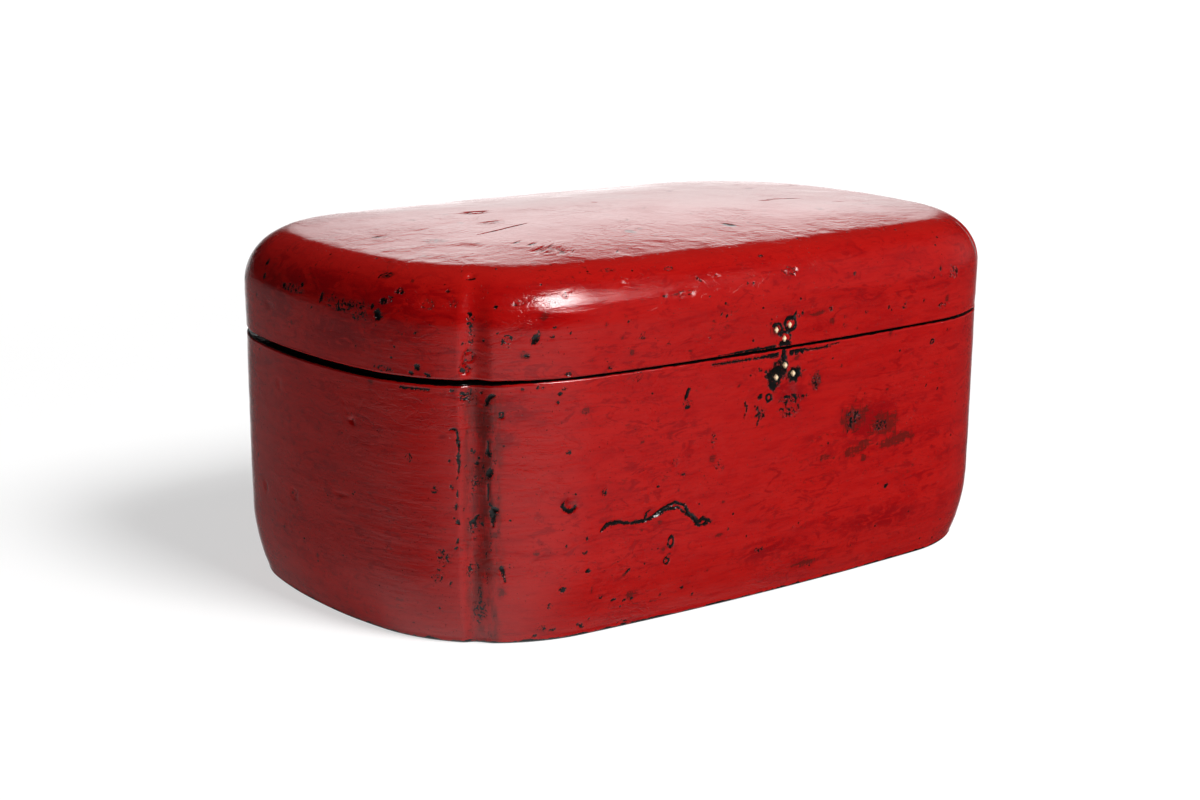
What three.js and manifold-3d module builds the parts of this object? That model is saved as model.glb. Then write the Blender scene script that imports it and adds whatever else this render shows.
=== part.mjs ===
// A lacquered wooden box with a domed, hinged lid, in millimetres, +Z up.
// The plan is a long rounded rectangle with bowed sides and a shallow groove down each corner.
// The base is four shaped wall planks, four grooved corner posts and a let-in bottom board.
// The lid is built the same way under a carved top board, and shuts over an inner lip.
// Two brass leaf hinges are let into the curved back, and six pegs fill the holes of a lost clasp.
// The origin is the middle of the underside, with the front at -Y and the hinges at +Y.

import * as THREE from "three";
import { mergeVertices } from "three/addons/utils/BufferGeometryUtils.js";
import Module from "manifold-3d";

const wasm = await Module();
wasm.setup();

// Driving dimensions of the plan outline
const LENGTH = 380; // over the two short ends, at the seam
const DEPTH = 241.7; // over the two long sides, at the seam
const SIDE_RADIUS = 1555; // bow of the long sides
const END_RADIUS = 276; // bow of the short ends
const CORNER_RADIUS = 83;

// Heights
const BASE_HEIGHT = 122; // floor to seam
const SEAM_GAP = 0.4; // lid's rim above the base's rim when shut
const LID_WALL_HEIGHT = 22; // the lid's upright part, above the seam
const SHOULDER_RISE = 26.6; // from the top of the lid's walls to the edge of its dome
const CROWN_RISE = 5.5; // how far the dome bulges above that edge
const LID_CEILING_HEIGHT = 41; // underside of the top board, above the seam

// Walls
const BASE_WALL = 11;
const LID_WALL = 10.4;
const GLUE_GAP = 0.2; // glue line between two pieces of wood
const BASE_LEAN = 1.4; // how far the base's walls lean in, from the seam to the floor
const TURN_START = 36; // height below which the base turns under
const TURN_INSET = 7; // how far it has turned under at the floor
const FOOT_ROUND = 1.8;
const RIM_ROUND = 1.5; // softened edges on both sides of the seam
const LID_BULGE = 0.4;
const SHOULDER_REACH = 28.4; // from the lid's side in to the edge of its dome
const LID_COVE = 16; // width of the hollowed cove between the lid's wall and its ceiling

// Corner posts and their grooves
const POST_WIDTH = 17;
const GROOVE_DEPTH = 3.2;
const GROOVE_FADE = 72; // degrees up the lid's shoulder at which its grooves have died out

// Bottom board, and the lip that guides the lid
const BOARD_THICKNESS = 9;
const REBATE = 3.4; // how far the board runs in under the walls
const LIP_THICKNESS = 3.6;
const LIP_RISE = 7; // above the seam
const LIP_DEPTH = 20; // below the seam
const LIP_LEAD = 1.4; // chamfer that leads the lid on

// Hinges
const HINGE_SPREAD = 60; // each hinge's middle, from the middle of the back
const LEAF_WIDTH = 26;
const LEAF_HEIGHT = 15.5;
const LEAF_THICKNESS = 1.2;
const KNUCKLE_RADIUS = 2.6;
const KNUCKLES = 3;
const HINGE_PIN_RADIUS = 1.2;
const PIN_HEAD_RADIUS = 1.9;
const PIN_HEAD_LENGTH = 0.8;
const RUNNING_GAP = 0.1; // hinge pin in its knuckles
const SIDE_GAP = 0.3; // between neighbouring knuckles
const SEAT_GAP = 0.3; // around a leaf in its seat
const BED_GAP = 0.2; // under a leaf, and under a nail's head
const NAIL_RADIUS = 0.8;
const NAIL_LENGTH = 8.5;
const NAIL_POINT = 2;
const NAIL_HEAD_RADIUS = 1.6;
const NAIL_HEAD_HEIGHT = 0.7;
const NAIL_HOLE_GAP = 0.12;
const NAIL_SPACING = 15; // between the two nails nearest the pin
const NAIL_ROW = 6; // those two, from the seam
const NAIL_DROP = 5.6; // from those two to the lone third nail

// Pegs that fill the holes of the lost clasp: diamond section, driven in from the front.
// Each place is a distance to the right of the middle and a height above the seam.
const PEG_WIDTH = 2.7;
const PEG_HEIGHT = 3.6;
const PEG_LENGTH = 8;
const PEG_PROUD = 0.4;
const PEG_GAP = 0.12;
const LID_PEGS = { left: [-5.5, 9.6], right: [2.8, 11.2], lower: [-0.3, 5] };
const BASE_PEGS = { upper: [1, -8], left: [-4.6, -13.2], right: [6.2, -12.6] };

// Facets
const END_STEPS = 3;
const CORNER_STEPS = 4;
const POST_STEPS = 6;
const SIDE_STEPS = 4;
const PIN_STEPS = 20;
const EYE_STEPS = 14;
const NAIL_STEPS = 8;

const LACQUER_RED = 0xa81d1b;
const LACQUER_DARK = 0x1d0d0b;
const BRASS = 0xa98445;
const PALE_WOOD = 0xe9cf9a;

// Plan outline: the quadrant from the +X end to the +Y side, as three arcs that meet smoothly

const halfDepth = DEPTH / 2;
const endCentre = new THREE.Vector2(LENGTH / 2 - END_RADIUS, 0);
const sideCentre = new THREE.Vector2(0, halfDepth - SIDE_RADIUS);
const cornerCentre = meetCircles(
  sideCentre,
  SIDE_RADIUS - CORNER_RADIUS,
  endCentre,
  END_RADIUS - CORNER_RADIUS,
);
const endAngle = cornerCentre.clone().sub(endCentre).angle();
const sideAngle = cornerCentre.clone().sub(sideCentre).angle();
const grooveAngle = (endAngle + sideAngle) / 2;
const postHalfAngle = POST_WIDTH / 2 / CORNER_RADIUS;
const jointAngle = postHalfAngle + GLUE_GAP / CORNER_RADIUS;

// The point at two given distances from two centres, on the right of the way from the first to the second.
function meetCircles(centreA, distanceA, centreB, distanceB) {
  const ahead = centreB.clone().sub(centreA);
  const span = ahead.length();
  ahead.normalize();
  const right = new THREE.Vector2(ahead.y, -ahead.x);
  const along = (distanceA ** 2 - distanceB ** 2 + span ** 2) / (2 * span);
  const across = Math.sqrt(distanceA ** 2 - along ** 2);
  return centreA.clone().addScaledVector(ahead, along).addScaledVector(right, across);
}

// A station is a point of the outline, its outward normal, and the share of the groove's depth there.
function arcStations(centre, radius, from, to, steps) {
  const stations = [];
  for (let i = 0; i <= steps; i++) {
    const angle = from + ((to - from) * i) / steps;
    const nx = Math.cos(angle);
    const ny = Math.sin(angle);
    const x = centre.x + radius * nx;
    const y = centre.y + radius * ny;
    stations.push({ x, y, nx, ny, groove: 0 });
  }
  return stations;
}

// A corner post's stations, with a smooth groove that is deepest in the middle.
function postStations() {
  const from = grooveAngle - postHalfAngle;
  const to = grooveAngle + postHalfAngle;
  const stations = arcStations(cornerCentre, CORNER_RADIUS, from, to, POST_STEPS);
  stations.forEach((station, i) => {
    const across = (2 * i) / POST_STEPS - 1;
    station.groove = (1 + Math.cos(Math.PI * across)) / 2;
  });
  return stations;
}

// A copy in another quadrant, still running counter-clockwise.
function mirrored(stations, signX, signY) {
  const copies = stations.map((s) => ({
    x: s.x * signX,
    y: s.y * signY,
    nx: s.nx * signX,
    ny: s.ny * signY,
    groove: s.groove,
  }));
  return signX * signY < 0 ? copies.reverse() : copies;
}

const endHalf = [
  ...arcStations(endCentre, END_RADIUS, 0, endAngle, END_STEPS).slice(0, -1),
  ...arcStations(cornerCentre, CORNER_RADIUS, endAngle, grooveAngle - jointAngle, CORNER_STEPS),
];
const sideHalf = [
  ...arcStations(
    cornerCentre,
    CORNER_RADIUS,
    grooveAngle + jointAngle,
    sideAngle,
    CORNER_STEPS,
  ).slice(0, -1),
  ...arcStations(sideCentre, SIDE_RADIUS, sideAngle, Math.PI / 2, SIDE_STEPS),
];
const post = postStations();
const posts = {
  back_right: post,
  back_left: mirrored(post, -1, 1),
  front_left: mirrored(post, -1, -1),
  front_right: mirrored(post, 1, -1),
};
const rightEnd = [...mirrored(endHalf, 1, -1), ...endHalf.slice(1)];
const leftEnd = mirrored(rightEnd, -1, 1);
const backSide = [...sideHalf, ...mirrored(sideHalf, -1, 1).slice(1)];
const frontSide = mirrored(backSide, 1, -1);
const ring = [
  ...rightEnd,
  ...posts.back_right,
  ...backSide,
  ...posts.back_left,
  ...leftEnd,
  ...posts.front_left,
  ...frontSide,
  ...posts.front_right,
];

// Swept bodies

// Faces are turned outwards if the triangles as given enclose a negative volume.
function closedGeometry(positions, triangles) {
  let volume = 0;
  for (const [a, b, c] of triangles) {
    volume += positions[a].dot(positions[b].clone().cross(positions[c]));
  }
  const outward = volume < 0 ? triangles.map(([a, b, c]) => [a, c, b]) : triangles;
  const coordinates = positions.flatMap((p) => [p.x, p.y, p.z]);
  const geometry = new THREE.BufferGeometry();
  geometry.setAttribute("position", new THREE.Float32BufferAttribute(coordinates, 3));
  geometry.setIndex(outward.flat());
  return geometry;
}

// A profile point is its inset from the outline, its height, its share of the groove's depth,
// and a scale towards the vertical axis. The last two are left out where they are 0 and 1.
function place(station, [inset, z, grooved = 0, scale = 1]) {
  const depth = inset + GROOVE_DEPTH * grooved * station.groove;
  const x = (station.x - station.nx * depth) * scale;
  const y = (station.y - station.ny * depth) * scale;
  return new THREE.Vector3(x, y, z);
}

// The triangles between one station's points and the next one's.
function spanTriangles(here, next, count, edges) {
  const triangles = [];
  for (let j = 0; j < edges; j++) {
    const k = (j + 1) % count;
    triangles.push([here + j, next + j, next + k]);
    triangles.push([here + j, next + k, here + k]);
  }
  return triangles;
}

// A closed profile swept along a run of stations, with a flat cap at each end.
function sweep(stations, profile) {
  const positions = stations.flatMap((s) => profile.map((p) => place(s, p)));
  const count = profile.length;
  const last = (stations.length - 1) * count;
  const cap = capTriangles(profile);
  const triangles = [...cap, ...cap.map(([a, b, c]) => [last + a, last + c, last + b])];
  for (let here = 0; here < last; here += count) {
    triangles.push(...spanTriangles(here, here + count, count, count));
  }
  return closedGeometry(positions, triangles);
}

// Triangles that fill a profile, each wound the way the profile runs. A run's ends have no groove.
function capTriangles(profile) {
  const flat = profile.map(([inset, z]) => new THREE.Vector2(inset, z));
  const turn = Math.sign(THREE.ShapeUtils.area(flat));
  return THREE.ShapeUtils.triangulateShape(flat, []).map(([a, b, c]) => {
    const area = THREE.ShapeUtils.area([flat[a], flat[b], flat[c]]);
    return Math.sign(area) === turn ? [a, b, c] : [a, c, b];
  });
}

// An open profile swept round the whole ring, its two ends closed on the vertical axis.
function sweepToAxis(profile, startZ, endZ) {
  const positions = ring.flatMap((s) => profile.map((p) => place(s, p)));
  const count = profile.length;
  const start = positions.push(new THREE.Vector3(0, 0, startZ)) - 1;
  const end = positions.push(new THREE.Vector3(0, 0, endZ)) - 1;
  const triangles = ring.flatMap((_, i) => {
    const here = i * count;
    const next = ((i + 1) % ring.length) * count;
    const closing = [
      [start, next, here],
      [end, here + count - 1, next + count - 1],
    ];
    return [...spanTriangles(here, next, count, count - 1), ...closing];
  });
  return closedGeometry(positions, triangles);
}

// Joining and cutting

function toSolid(geometry) {
  const bare = new THREE.BufferGeometry();
  bare.setAttribute("position", geometry.getAttribute("position"));
  bare.setIndex(geometry.getIndex());
  const merged = mergeVertices(bare);
  return new wasm.Manifold(
    new wasm.Mesh({
      numProp: 3,
      vertProperties: new Float32Array(merged.attributes.position.array),
      triVerts: new Uint32Array(merged.index.array),
    }),
  );
}

function fromSolid(solid) {
  const mesh = solid.getMesh();
  const geometry = new THREE.BufferGeometry();
  const positions = new Float32Array(mesh.vertProperties);
  geometry.setAttribute("position", new THREE.BufferAttribute(positions, 3));
  geometry.setIndex(new THREE.BufferAttribute(new Uint32Array(mesh.triVerts), 1));
  return geometry;
}

function join(geometries) {
  return fromSolid(geometries.map(toSolid).reduce((whole, piece) => whole.add(piece)));
}

function cut(geometry, cutters) {
  const whole = toSolid(geometry);
  return fromSolid(cutters.map(toSolid).reduce((left, piece) => left.subtract(piece), whole));
}

function boxBetween(low, high) {
  const geometry = new THREE.BoxGeometry(high[0] - low[0], high[1] - low[1], high[2] - low[2]);
  geometry.translate((low[0] + high[0]) / 2, (low[1] + high[1]) / 2, (low[2] + high[2]) / 2);
  return geometry;
}

// A prism along Y with a corner of its section on the X axis.
function prismAlongY(radius, fromY, toY, sides) {
  const geometry = new THREE.CylinderGeometry(radius, radius, toY - fromY, sides);
  geometry.rotateY(Math.PI / 2);
  geometry.translate(0, (fromY + toY) / 2, 0);
  return geometry;
}

// Base

// How far the base's outside stands in from the outline at a height above the floor.
function baseInset(z) {
  const turnRadius = (TURN_START ** 2 + TURN_INSET ** 2) / (2 * TURN_INSET);
  const below = Math.max(0, TURN_START - z);
  const turned = turnRadius - Math.sqrt(turnRadius ** 2 - below ** 2);
  return turned + BASE_LEAN * (1 - z / BASE_HEIGHT) ** 2;
}

const rebateInset = baseInset(BOARD_THICKNESS) + BASE_WALL - REBATE;

function baseWallProfile() {
  const ledge = BOARD_THICKNESS + GLUE_GAP;
  const sides = [FOOT_ROUND, TURN_START / 4, TURN_START / 2, TURN_START, 2 * TURN_START];
  return [
    [baseInset(0) + FOOT_ROUND, 0, 1],
    [baseInset(FOOT_ROUND * 0.3) + FOOT_ROUND * 0.3, FOOT_ROUND * 0.3, 1],
    ...sides.map((z) => [baseInset(z), z, 1]),
    [0, BASE_HEIGHT - RIM_ROUND, 1],
    [RIM_ROUND * 0.3, BASE_HEIGHT - RIM_ROUND * 0.3, 1],
    [RIM_ROUND, BASE_HEIGHT, 1],
    [BASE_WALL, BASE_HEIGHT],
    [baseInset(TURN_START) + BASE_WALL, TURN_START],
    [baseInset(TURN_START / 2) + BASE_WALL, TURN_START / 2],
    [baseInset(ledge) + BASE_WALL, ledge],
    [rebateInset, ledge],
    [rebateInset, 0],
  ];
}

function bottomBoard() {
  const edge = rebateInset + GLUE_GAP;
  const profile = [
    [edge, BOARD_THICKNESS],
    [edge, 0],
  ];
  return sweepToAxis(profile, BOARD_THICKNESS, 0);
}

function lipProfile() {
  const outer = BASE_WALL + GLUE_GAP;
  const inner = outer + LIP_THICKNESS;
  const top = BASE_HEIGHT + LIP_RISE;
  return [
    [outer, BASE_HEIGHT - LIP_DEPTH],
    [outer, top - LIP_LEAD],
    [outer + LIP_LEAD, top],
    [inner, top],
    [inner, BASE_HEIGHT - LIP_DEPTH],
  ];
}

// Half of the ring, with no grooves, each end held a glue line short of the other half.
function lipHalf(signY) {
  const half = [
    ...endHalf,
    ...posts.back_right,
    ...backSide,
    ...posts.back_left,
    ...mirrored(endHalf, -1, 1),
  ].map((s) => ({ ...s, y: Math.max(s.y, GLUE_GAP), groove: 0 }));
  return mirrored(half, 1, signY);
}

// Lid

const lidRim = BASE_HEIGHT + SEAM_GAP;
const lidWallTop = BASE_HEIGHT + LID_WALL_HEIGHT;
const lidCrown = lidWallTop + SHOULDER_RISE + CROWN_RISE;
const lidCeiling = BASE_HEIGHT + LID_CEILING_HEIGHT;

function lidWallProfile() {
  const joint = lidWallTop - GLUE_GAP;
  return [
    [RIM_ROUND, lidRim, 1],
    [RIM_ROUND * 0.3, lidRim + RIM_ROUND * 0.3, 1],
    [0, lidRim + RIM_ROUND, 1],
    [-LID_BULGE * 0.8, (lidRim + joint) / 2, 1],
    [-LID_BULGE, joint, 1],
    [LID_WALL, joint],
    [LID_WALL, lidRim],
  ];
}

// Outside, a quarter ellipse turns into a low dome. Inside, a cove turns into a flat ceiling.
function topBoardProfile() {
  const shoulder = [0, 13, 26, 39, 52, 65, 78].map((degrees) => {
    const angle = THREE.MathUtils.degToRad(degrees);
    return [
      -LID_BULGE + SHOULDER_REACH * (1 - Math.cos(angle)),
      lidWallTop + SHOULDER_RISE * Math.sin(angle),
      Math.max(0, 1 - degrees / GROOVE_FADE),
    ];
  });
  const [edgeInset, edgeZ] = shoulder.at(-1);
  const dome = [0.3, 0.6, 0.82].map((scale) => {
    const z = edgeZ + (lidCrown - edgeZ) * (1 - scale ** 2);
    return [edgeInset, z, 0, scale];
  });
  const cove = [0, 30, 60, 90].map((degrees) => {
    const angle = THREE.MathUtils.degToRad(degrees);
    return [
      LID_WALL + LID_COVE * (1 - Math.cos(angle)),
      lidWallTop + (lidCeiling - lidWallTop) * Math.sin(angle),
    ];
  });
  return [...dome, ...shoulder.reverse(), ...cove];
}

// Pegs of the lost clasp

// Where the middle of the front stands at a height.
function frontFace(z) {
  return -(halfDepth + (z < BASE_HEIGHT ? -baseInset(z) : LID_BULGE / 2));
}

function diamond(fromY, toY, gap) {
  const geometry = prismAlongY(1, fromY, toY, 4);
  geometry.scale(PEG_WIDTH / 2 + gap, 1, PEG_HEIGHT / 2 + gap);
  return geometry;
}

// A peg and the hole it fills, which is cut clear through the front's surface.
function clasp([name, [x, rise]]) {
  const z = BASE_HEIGHT + rise;
  const tip = frontFace(z) - PEG_PROUD;
  const root = tip + PEG_LENGTH;
  const peg = diamond(tip, root, 0);
  const hole = diamond(tip - PEG_LENGTH, root + GLUE_GAP, PEG_GAP);
  peg.translate(x, 0, z);
  hole.translate(x, 0, z);
  return { name, peg, hole };
}

const lidPegs = Object.entries(LID_PEGS).map(clasp);
const basePegs = Object.entries(BASE_PEGS).map(clasp);

// Hinges

// How far the long sides have curved back at a distance from their middle.
const bowAt = (x) => SIDE_RADIUS - Math.sqrt(SIDE_RADIUS ** 2 - x ** 2);
const leafEdge = HINGE_SPREAD + LEAF_WIDTH / 2;
const seatY = halfDepth - bowAt(leafEdge) - baseInset(BASE_HEIGHT - LEAF_HEIGHT);
const leafY = seatY + BED_GAP;

const nailSpots = [
  [-NAIL_SPACING / 2, NAIL_ROW],
  [NAIL_SPACING / 2, NAIL_ROW],
  [0, NAIL_ROW + NAIL_DROP],
];

// Sections of a leaf: the first axis points out of the seat and the second away from the pin.
function plateSection() {
  const start = KNUCKLE_RADIUS + SIDE_GAP;
  return new THREE.Shape([
    new THREE.Vector2(0, start),
    new THREE.Vector2(LEAF_THICKNESS, start),
    new THREE.Vector2(LEAF_THICKNESS, LEAF_HEIGHT),
    new THREE.Vector2(0, LEAF_HEIGHT),
  ]);
}

// The plate runs on into an eye that wraps round the pin.
function knuckleSection() {
  const meet = Math.acos(LEAF_THICKNESS / KNUCKLE_RADIUS - 1);
  const section = new THREE.Shape();
  section.moveTo(0, LEAF_HEIGHT);
  section.absarc(KNUCKLE_RADIUS, 0, KNUCKLE_RADIUS, Math.PI, meet, false);
  section.lineTo(LEAF_THICKNESS, LEAF_HEIGHT);
  const bore = new THREE.Path();
  bore.absarc(KNUCKLE_RADIUS, 0, HINGE_PIN_RADIUS + RUNNING_GAP, 0, 2 * Math.PI, false);
  section.holes.push(bore);
  return section;
}

// A section drawn out along X, from one distance to another from the middle of the hinge.
function leafSlice(section, fromX, toX) {
  const depth = toX - fromX;
  const options = { depth, bevelEnabled: false, curveSegments: EYE_STEPS };
  const geometry = new THREE.ExtrudeGeometry(section, options);
  const alongX = new THREE.Matrix4().makeBasis(
    new THREE.Vector3(0, 1, 0),
    new THREE.Vector3(0, 0, 1),
    new THREE.Vector3(1, 0, 0),
  );
  geometry.applyMatrix4(alongX);
  geometry.translate(fromX, 0, 0);
  return geometry;
}

// One leaf: its plate, and an eye for each of its own knuckles among those of the hinge.
function leaf(middleX, knuckles, up) {
  const left = -LEAF_WIDTH / 2;
  const pitch = LEAF_WIDTH / KNUCKLES;
  const plate = leafSlice(plateSection(), left, -left);
  const eyes = knuckles.map((k) => {
    const fromX = left + k * pitch + (k > 0 ? SIDE_GAP / 2 : 0);
    const toX = left + (k + 1) * pitch - (k < KNUCKLES - 1 ? SIDE_GAP / 2 : 0);
    return leafSlice(knuckleSection(), fromX, toX);
  });
  const holes = nailSpots.map(([x, rise]) => {
    const radius = NAIL_RADIUS + NAIL_HOLE_GAP;
    const hole = prismAlongY(radius, -LEAF_THICKNESS, 2 * LEAF_THICKNESS, NAIL_STEPS);
    hole.translate(x, 0, rise);
    return hole;
  });
  const geometry = cut(join([plate, ...eyes]), holes);
  geometry.rotateY(up > 0 ? 0 : Math.PI);
  geometry.translate(middleX, leafY, BASE_HEIGHT);
  return geometry;
}

// The pin and its two heads in one turned outline.
function hingePin(middleX) {
  const shank = LEAF_WIDTH / 2 + SIDE_GAP;
  const end = shank + PIN_HEAD_LENGTH;
  const outline = [
    [0, -end],
    [PIN_HEAD_RADIUS, -end],
    [PIN_HEAD_RADIUS, -shank],
    [HINGE_PIN_RADIUS, -shank],
    [HINGE_PIN_RADIUS, shank],
    [PIN_HEAD_RADIUS, shank],
    [PIN_HEAD_RADIUS, end],
    [0, end],
  ].map(([r, along]) => new THREE.Vector2(r, along));
  const geometry = new THREE.LatheGeometry(outline, PIN_STEPS);
  geometry.rotateZ(-Math.PI / 2);
  geometry.translate(middleX, leafY + KNUCKLE_RADIUS, BASE_HEIGHT);
  return geometry;
}

// A nail with a low domed head, driven in along -Y.
function nail(x, z) {
  const outline = [
    [0, -NAIL_LENGTH],
    [NAIL_RADIUS * 0.2, -NAIL_LENGTH],
    [NAIL_RADIUS, NAIL_POINT - NAIL_LENGTH],
    [NAIL_RADIUS, BED_GAP],
    [NAIL_HEAD_RADIUS, BED_GAP],
    [NAIL_HEAD_RADIUS * 0.8, BED_GAP + NAIL_HEAD_HEIGHT * 0.7],
    [0, BED_GAP + NAIL_HEAD_HEIGHT],
  ].map(([r, along]) => new THREE.Vector2(r, along));
  const geometry = new THREE.LatheGeometry(outline, NAIL_STEPS);
  geometry.translate(x, leafY + LEAF_THICKNESS, z);
  return geometry;
}

// What the back walls lose to the hinges: a flat seat for each leaf, and the nails' holes.
function hingeCuts(up) {
  const halfWidth = LEAF_WIDTH / 2 + SIDE_GAP + PIN_HEAD_LENGTH + SEAT_GAP;
  const seatEnd = LEAF_HEIGHT + SEAT_GAP;
  const low = BASE_HEIGHT + (up > 0 ? -KNUCKLE_RADIUS : -seatEnd);
  const high = BASE_HEIGHT + (up > 0 ? seatEnd : KNUCKLE_RADIUS);
  const nailTip = leafY + LEAF_THICKNESS - NAIL_LENGTH - BED_GAP;
  return [-HINGE_SPREAD, HINGE_SPREAD].flatMap((middleX) => {
    const seat = boxBetween(
      [middleX - halfWidth, seatY, low],
      [middleX + halfWidth, halfDepth + KNUCKLE_RADIUS, high],
    );
    const holes = nailSpots.map(([x, rise]) => {
      const hole = prismAlongY(NAIL_RADIUS + NAIL_HOLE_GAP, nailTip, halfDepth, NAIL_STEPS);
      hole.translate(middleX + x, 0, BASE_HEIGHT + up * rise);
      return hole;
    });
    return [seat, ...holes];
  });
}

// Assembly

const box = new THREE.Group();

function add(name, geometry, color, roughness, metalness = 0) {
  const material = new THREE.MeshStandardMaterial({ color, roughness, metalness });
  const mesh = new THREE.Mesh(geometry, material);
  mesh.name = name;
  box.add(mesh);
}

// Four walls and four corner posts, of the base or of the lid.
function addCarcass(name, profile, pegs, up) {
  const holes = pegs.map(({ hole }) => hole);
  add(name + "_front_wall", cut(sweep(frontSide, profile), holes), LACQUER_RED, 0.3);
  add(name + "_back_wall", cut(sweep(backSide, profile), hingeCuts(up)), LACQUER_RED, 0.3);
  add(name + "_left_end", sweep(leftEnd, profile), LACQUER_RED, 0.3);
  add(name + "_right_end", sweep(rightEnd, profile), LACQUER_RED, 0.3);
  for (const [corner, stations] of Object.entries(posts)) {
    add(name + "_corner_post_" + corner, sweep(stations, profile), LACQUER_RED, 0.3);
  }
  for (const { name: place, peg } of pegs) {
    add(name + "_clasp_peg_" + place, peg, PALE_WOOD, 0.6);
  }
}

function addHinge(side, middleX) {
  const name = "hinge_" + side;
  add(name + "_lid_leaf", leaf(middleX, [1], 1), BRASS, 0.35, 1);
  add(name + "_base_leaf", leaf(middleX, [0, 2], -1), BRASS, 0.35, 1);
  add(name + "_pin", hingePin(middleX), BRASS, 0.35, 1);
  nailSpots.forEach(([x, rise], i) => {
    const number = i + 1;
    const upper = nail(middleX + x, BASE_HEIGHT + rise);
    const lower = nail(middleX + x, BASE_HEIGHT - rise);
    add(name + "_lid_nail_" + number, upper, BRASS, 0.35, 1);
    add(name + "_base_nail_" + number, lower, BRASS, 0.35, 1);
  });
}

addCarcass("base", baseWallProfile(), basePegs, -1);
add("base_bottom_board", bottomBoard(), LACQUER_DARK, 0.5);
add("rim_lip_back", sweep(lipHalf(1), lipProfile()), LACQUER_DARK, 0.5);
add("rim_lip_front", sweep(lipHalf(-1), lipProfile()), LACQUER_DARK, 0.5);
addCarcass("lid", lidWallProfile(), lidPegs, 1);
add("lid_top_board", sweepToAxis(topBoardProfile(), lidCrown, lidCeiling), LACQUER_RED, 0.3);
addHinge("left", -HINGE_SPREAD);
addHinge("right", HINGE_SPREAD);

export default box;
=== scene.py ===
import logging
import math
from dataclasses import dataclass, field
from enum import Enum
from typing import Callable, Sequence

import bmesh
import bpy
import numpy as np
from mathutils import Matrix, Vector


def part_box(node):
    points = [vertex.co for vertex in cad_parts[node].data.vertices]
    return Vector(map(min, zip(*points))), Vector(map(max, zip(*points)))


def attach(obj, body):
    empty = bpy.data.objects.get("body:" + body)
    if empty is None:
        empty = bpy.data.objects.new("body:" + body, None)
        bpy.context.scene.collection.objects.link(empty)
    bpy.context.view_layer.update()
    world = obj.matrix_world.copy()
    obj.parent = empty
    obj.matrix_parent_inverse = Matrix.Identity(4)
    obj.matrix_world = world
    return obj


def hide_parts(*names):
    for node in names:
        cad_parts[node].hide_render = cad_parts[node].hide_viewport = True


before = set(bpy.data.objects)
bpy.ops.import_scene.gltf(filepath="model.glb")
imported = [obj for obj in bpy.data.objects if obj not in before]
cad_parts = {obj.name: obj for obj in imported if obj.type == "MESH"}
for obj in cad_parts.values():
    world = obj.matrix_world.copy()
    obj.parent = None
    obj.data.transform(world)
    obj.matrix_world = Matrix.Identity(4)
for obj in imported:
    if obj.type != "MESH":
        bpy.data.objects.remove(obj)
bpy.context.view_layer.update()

log = logging.getLogger("lacquer_box")

MM = 0.001

# The least gap between two lines of a skin, and how far each of a pair lies from the step it marks
LEAST_GAP = 0.3 * MM
STEP_SIDE = 0.03 * MM

# The gaps between the rows of a wall
ROW_GAP = 1.25 * MM
FINE_ROW_GAP = 0.55 * MM


# Relief


class Relief:
    """Smooth random relief that is the same on every run."""

    CELLS = 61

    def __init__(self, seed: int) -> None:
        """Draws the lattice of random heights.

        Args:
            seed: Which relief to draw.
        """
        draw = np.random.default_rng(seed)
        self.heights = draw.uniform(-1, 1, (self.CELLS,) * 3)

    def at(self, points: np.ndarray, size: Sequence[float]) -> np.ndarray:
        """Reads the relief at points.

        Args:
            points: Points in metres, one a row.
            size: Width of a hump along X, Y and Z, in metres.

        Returns:
            Heights between -1 and 1, one for each point.
        """
        scaled = points / np.asarray(size)
        cell = np.floor(scaled).astype(int)
        part = scaled - cell
        part = part * part * (3 - 2 * part)
        total = np.zeros(len(points))
        for corner in np.ndindex(2, 2, 2):
            share = np.where(corner, part, 1 - part).prod(axis=1)
            x, y, z = ((cell + corner) % self.CELLS).T
            total += share * self.heights[x, y, z]
        return total


def soft_step(low: float, high: float, value: np.ndarray) -> np.ndarray:
    """Rises smoothly from 0 to 1.

    Args:
        low: Value at which the step is still 0.
        high: Value at which it has reached 1. It may be below low.
        value: The values to read the step at.

    Returns:
        Shares between 0 and 1.
    """
    share = np.clip((value - low) / (high - low), 0, 1)
    return share * share * (3 - 2 * share)


# The plan outline


@dataclass
class Trace:
    """Stations round the outline, counter-clockwise from the middle of the right end."""

    point: np.ndarray
    normal: np.ndarray
    groove: np.ndarray
    rubbed: np.ndarray
    around: np.ndarray


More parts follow.
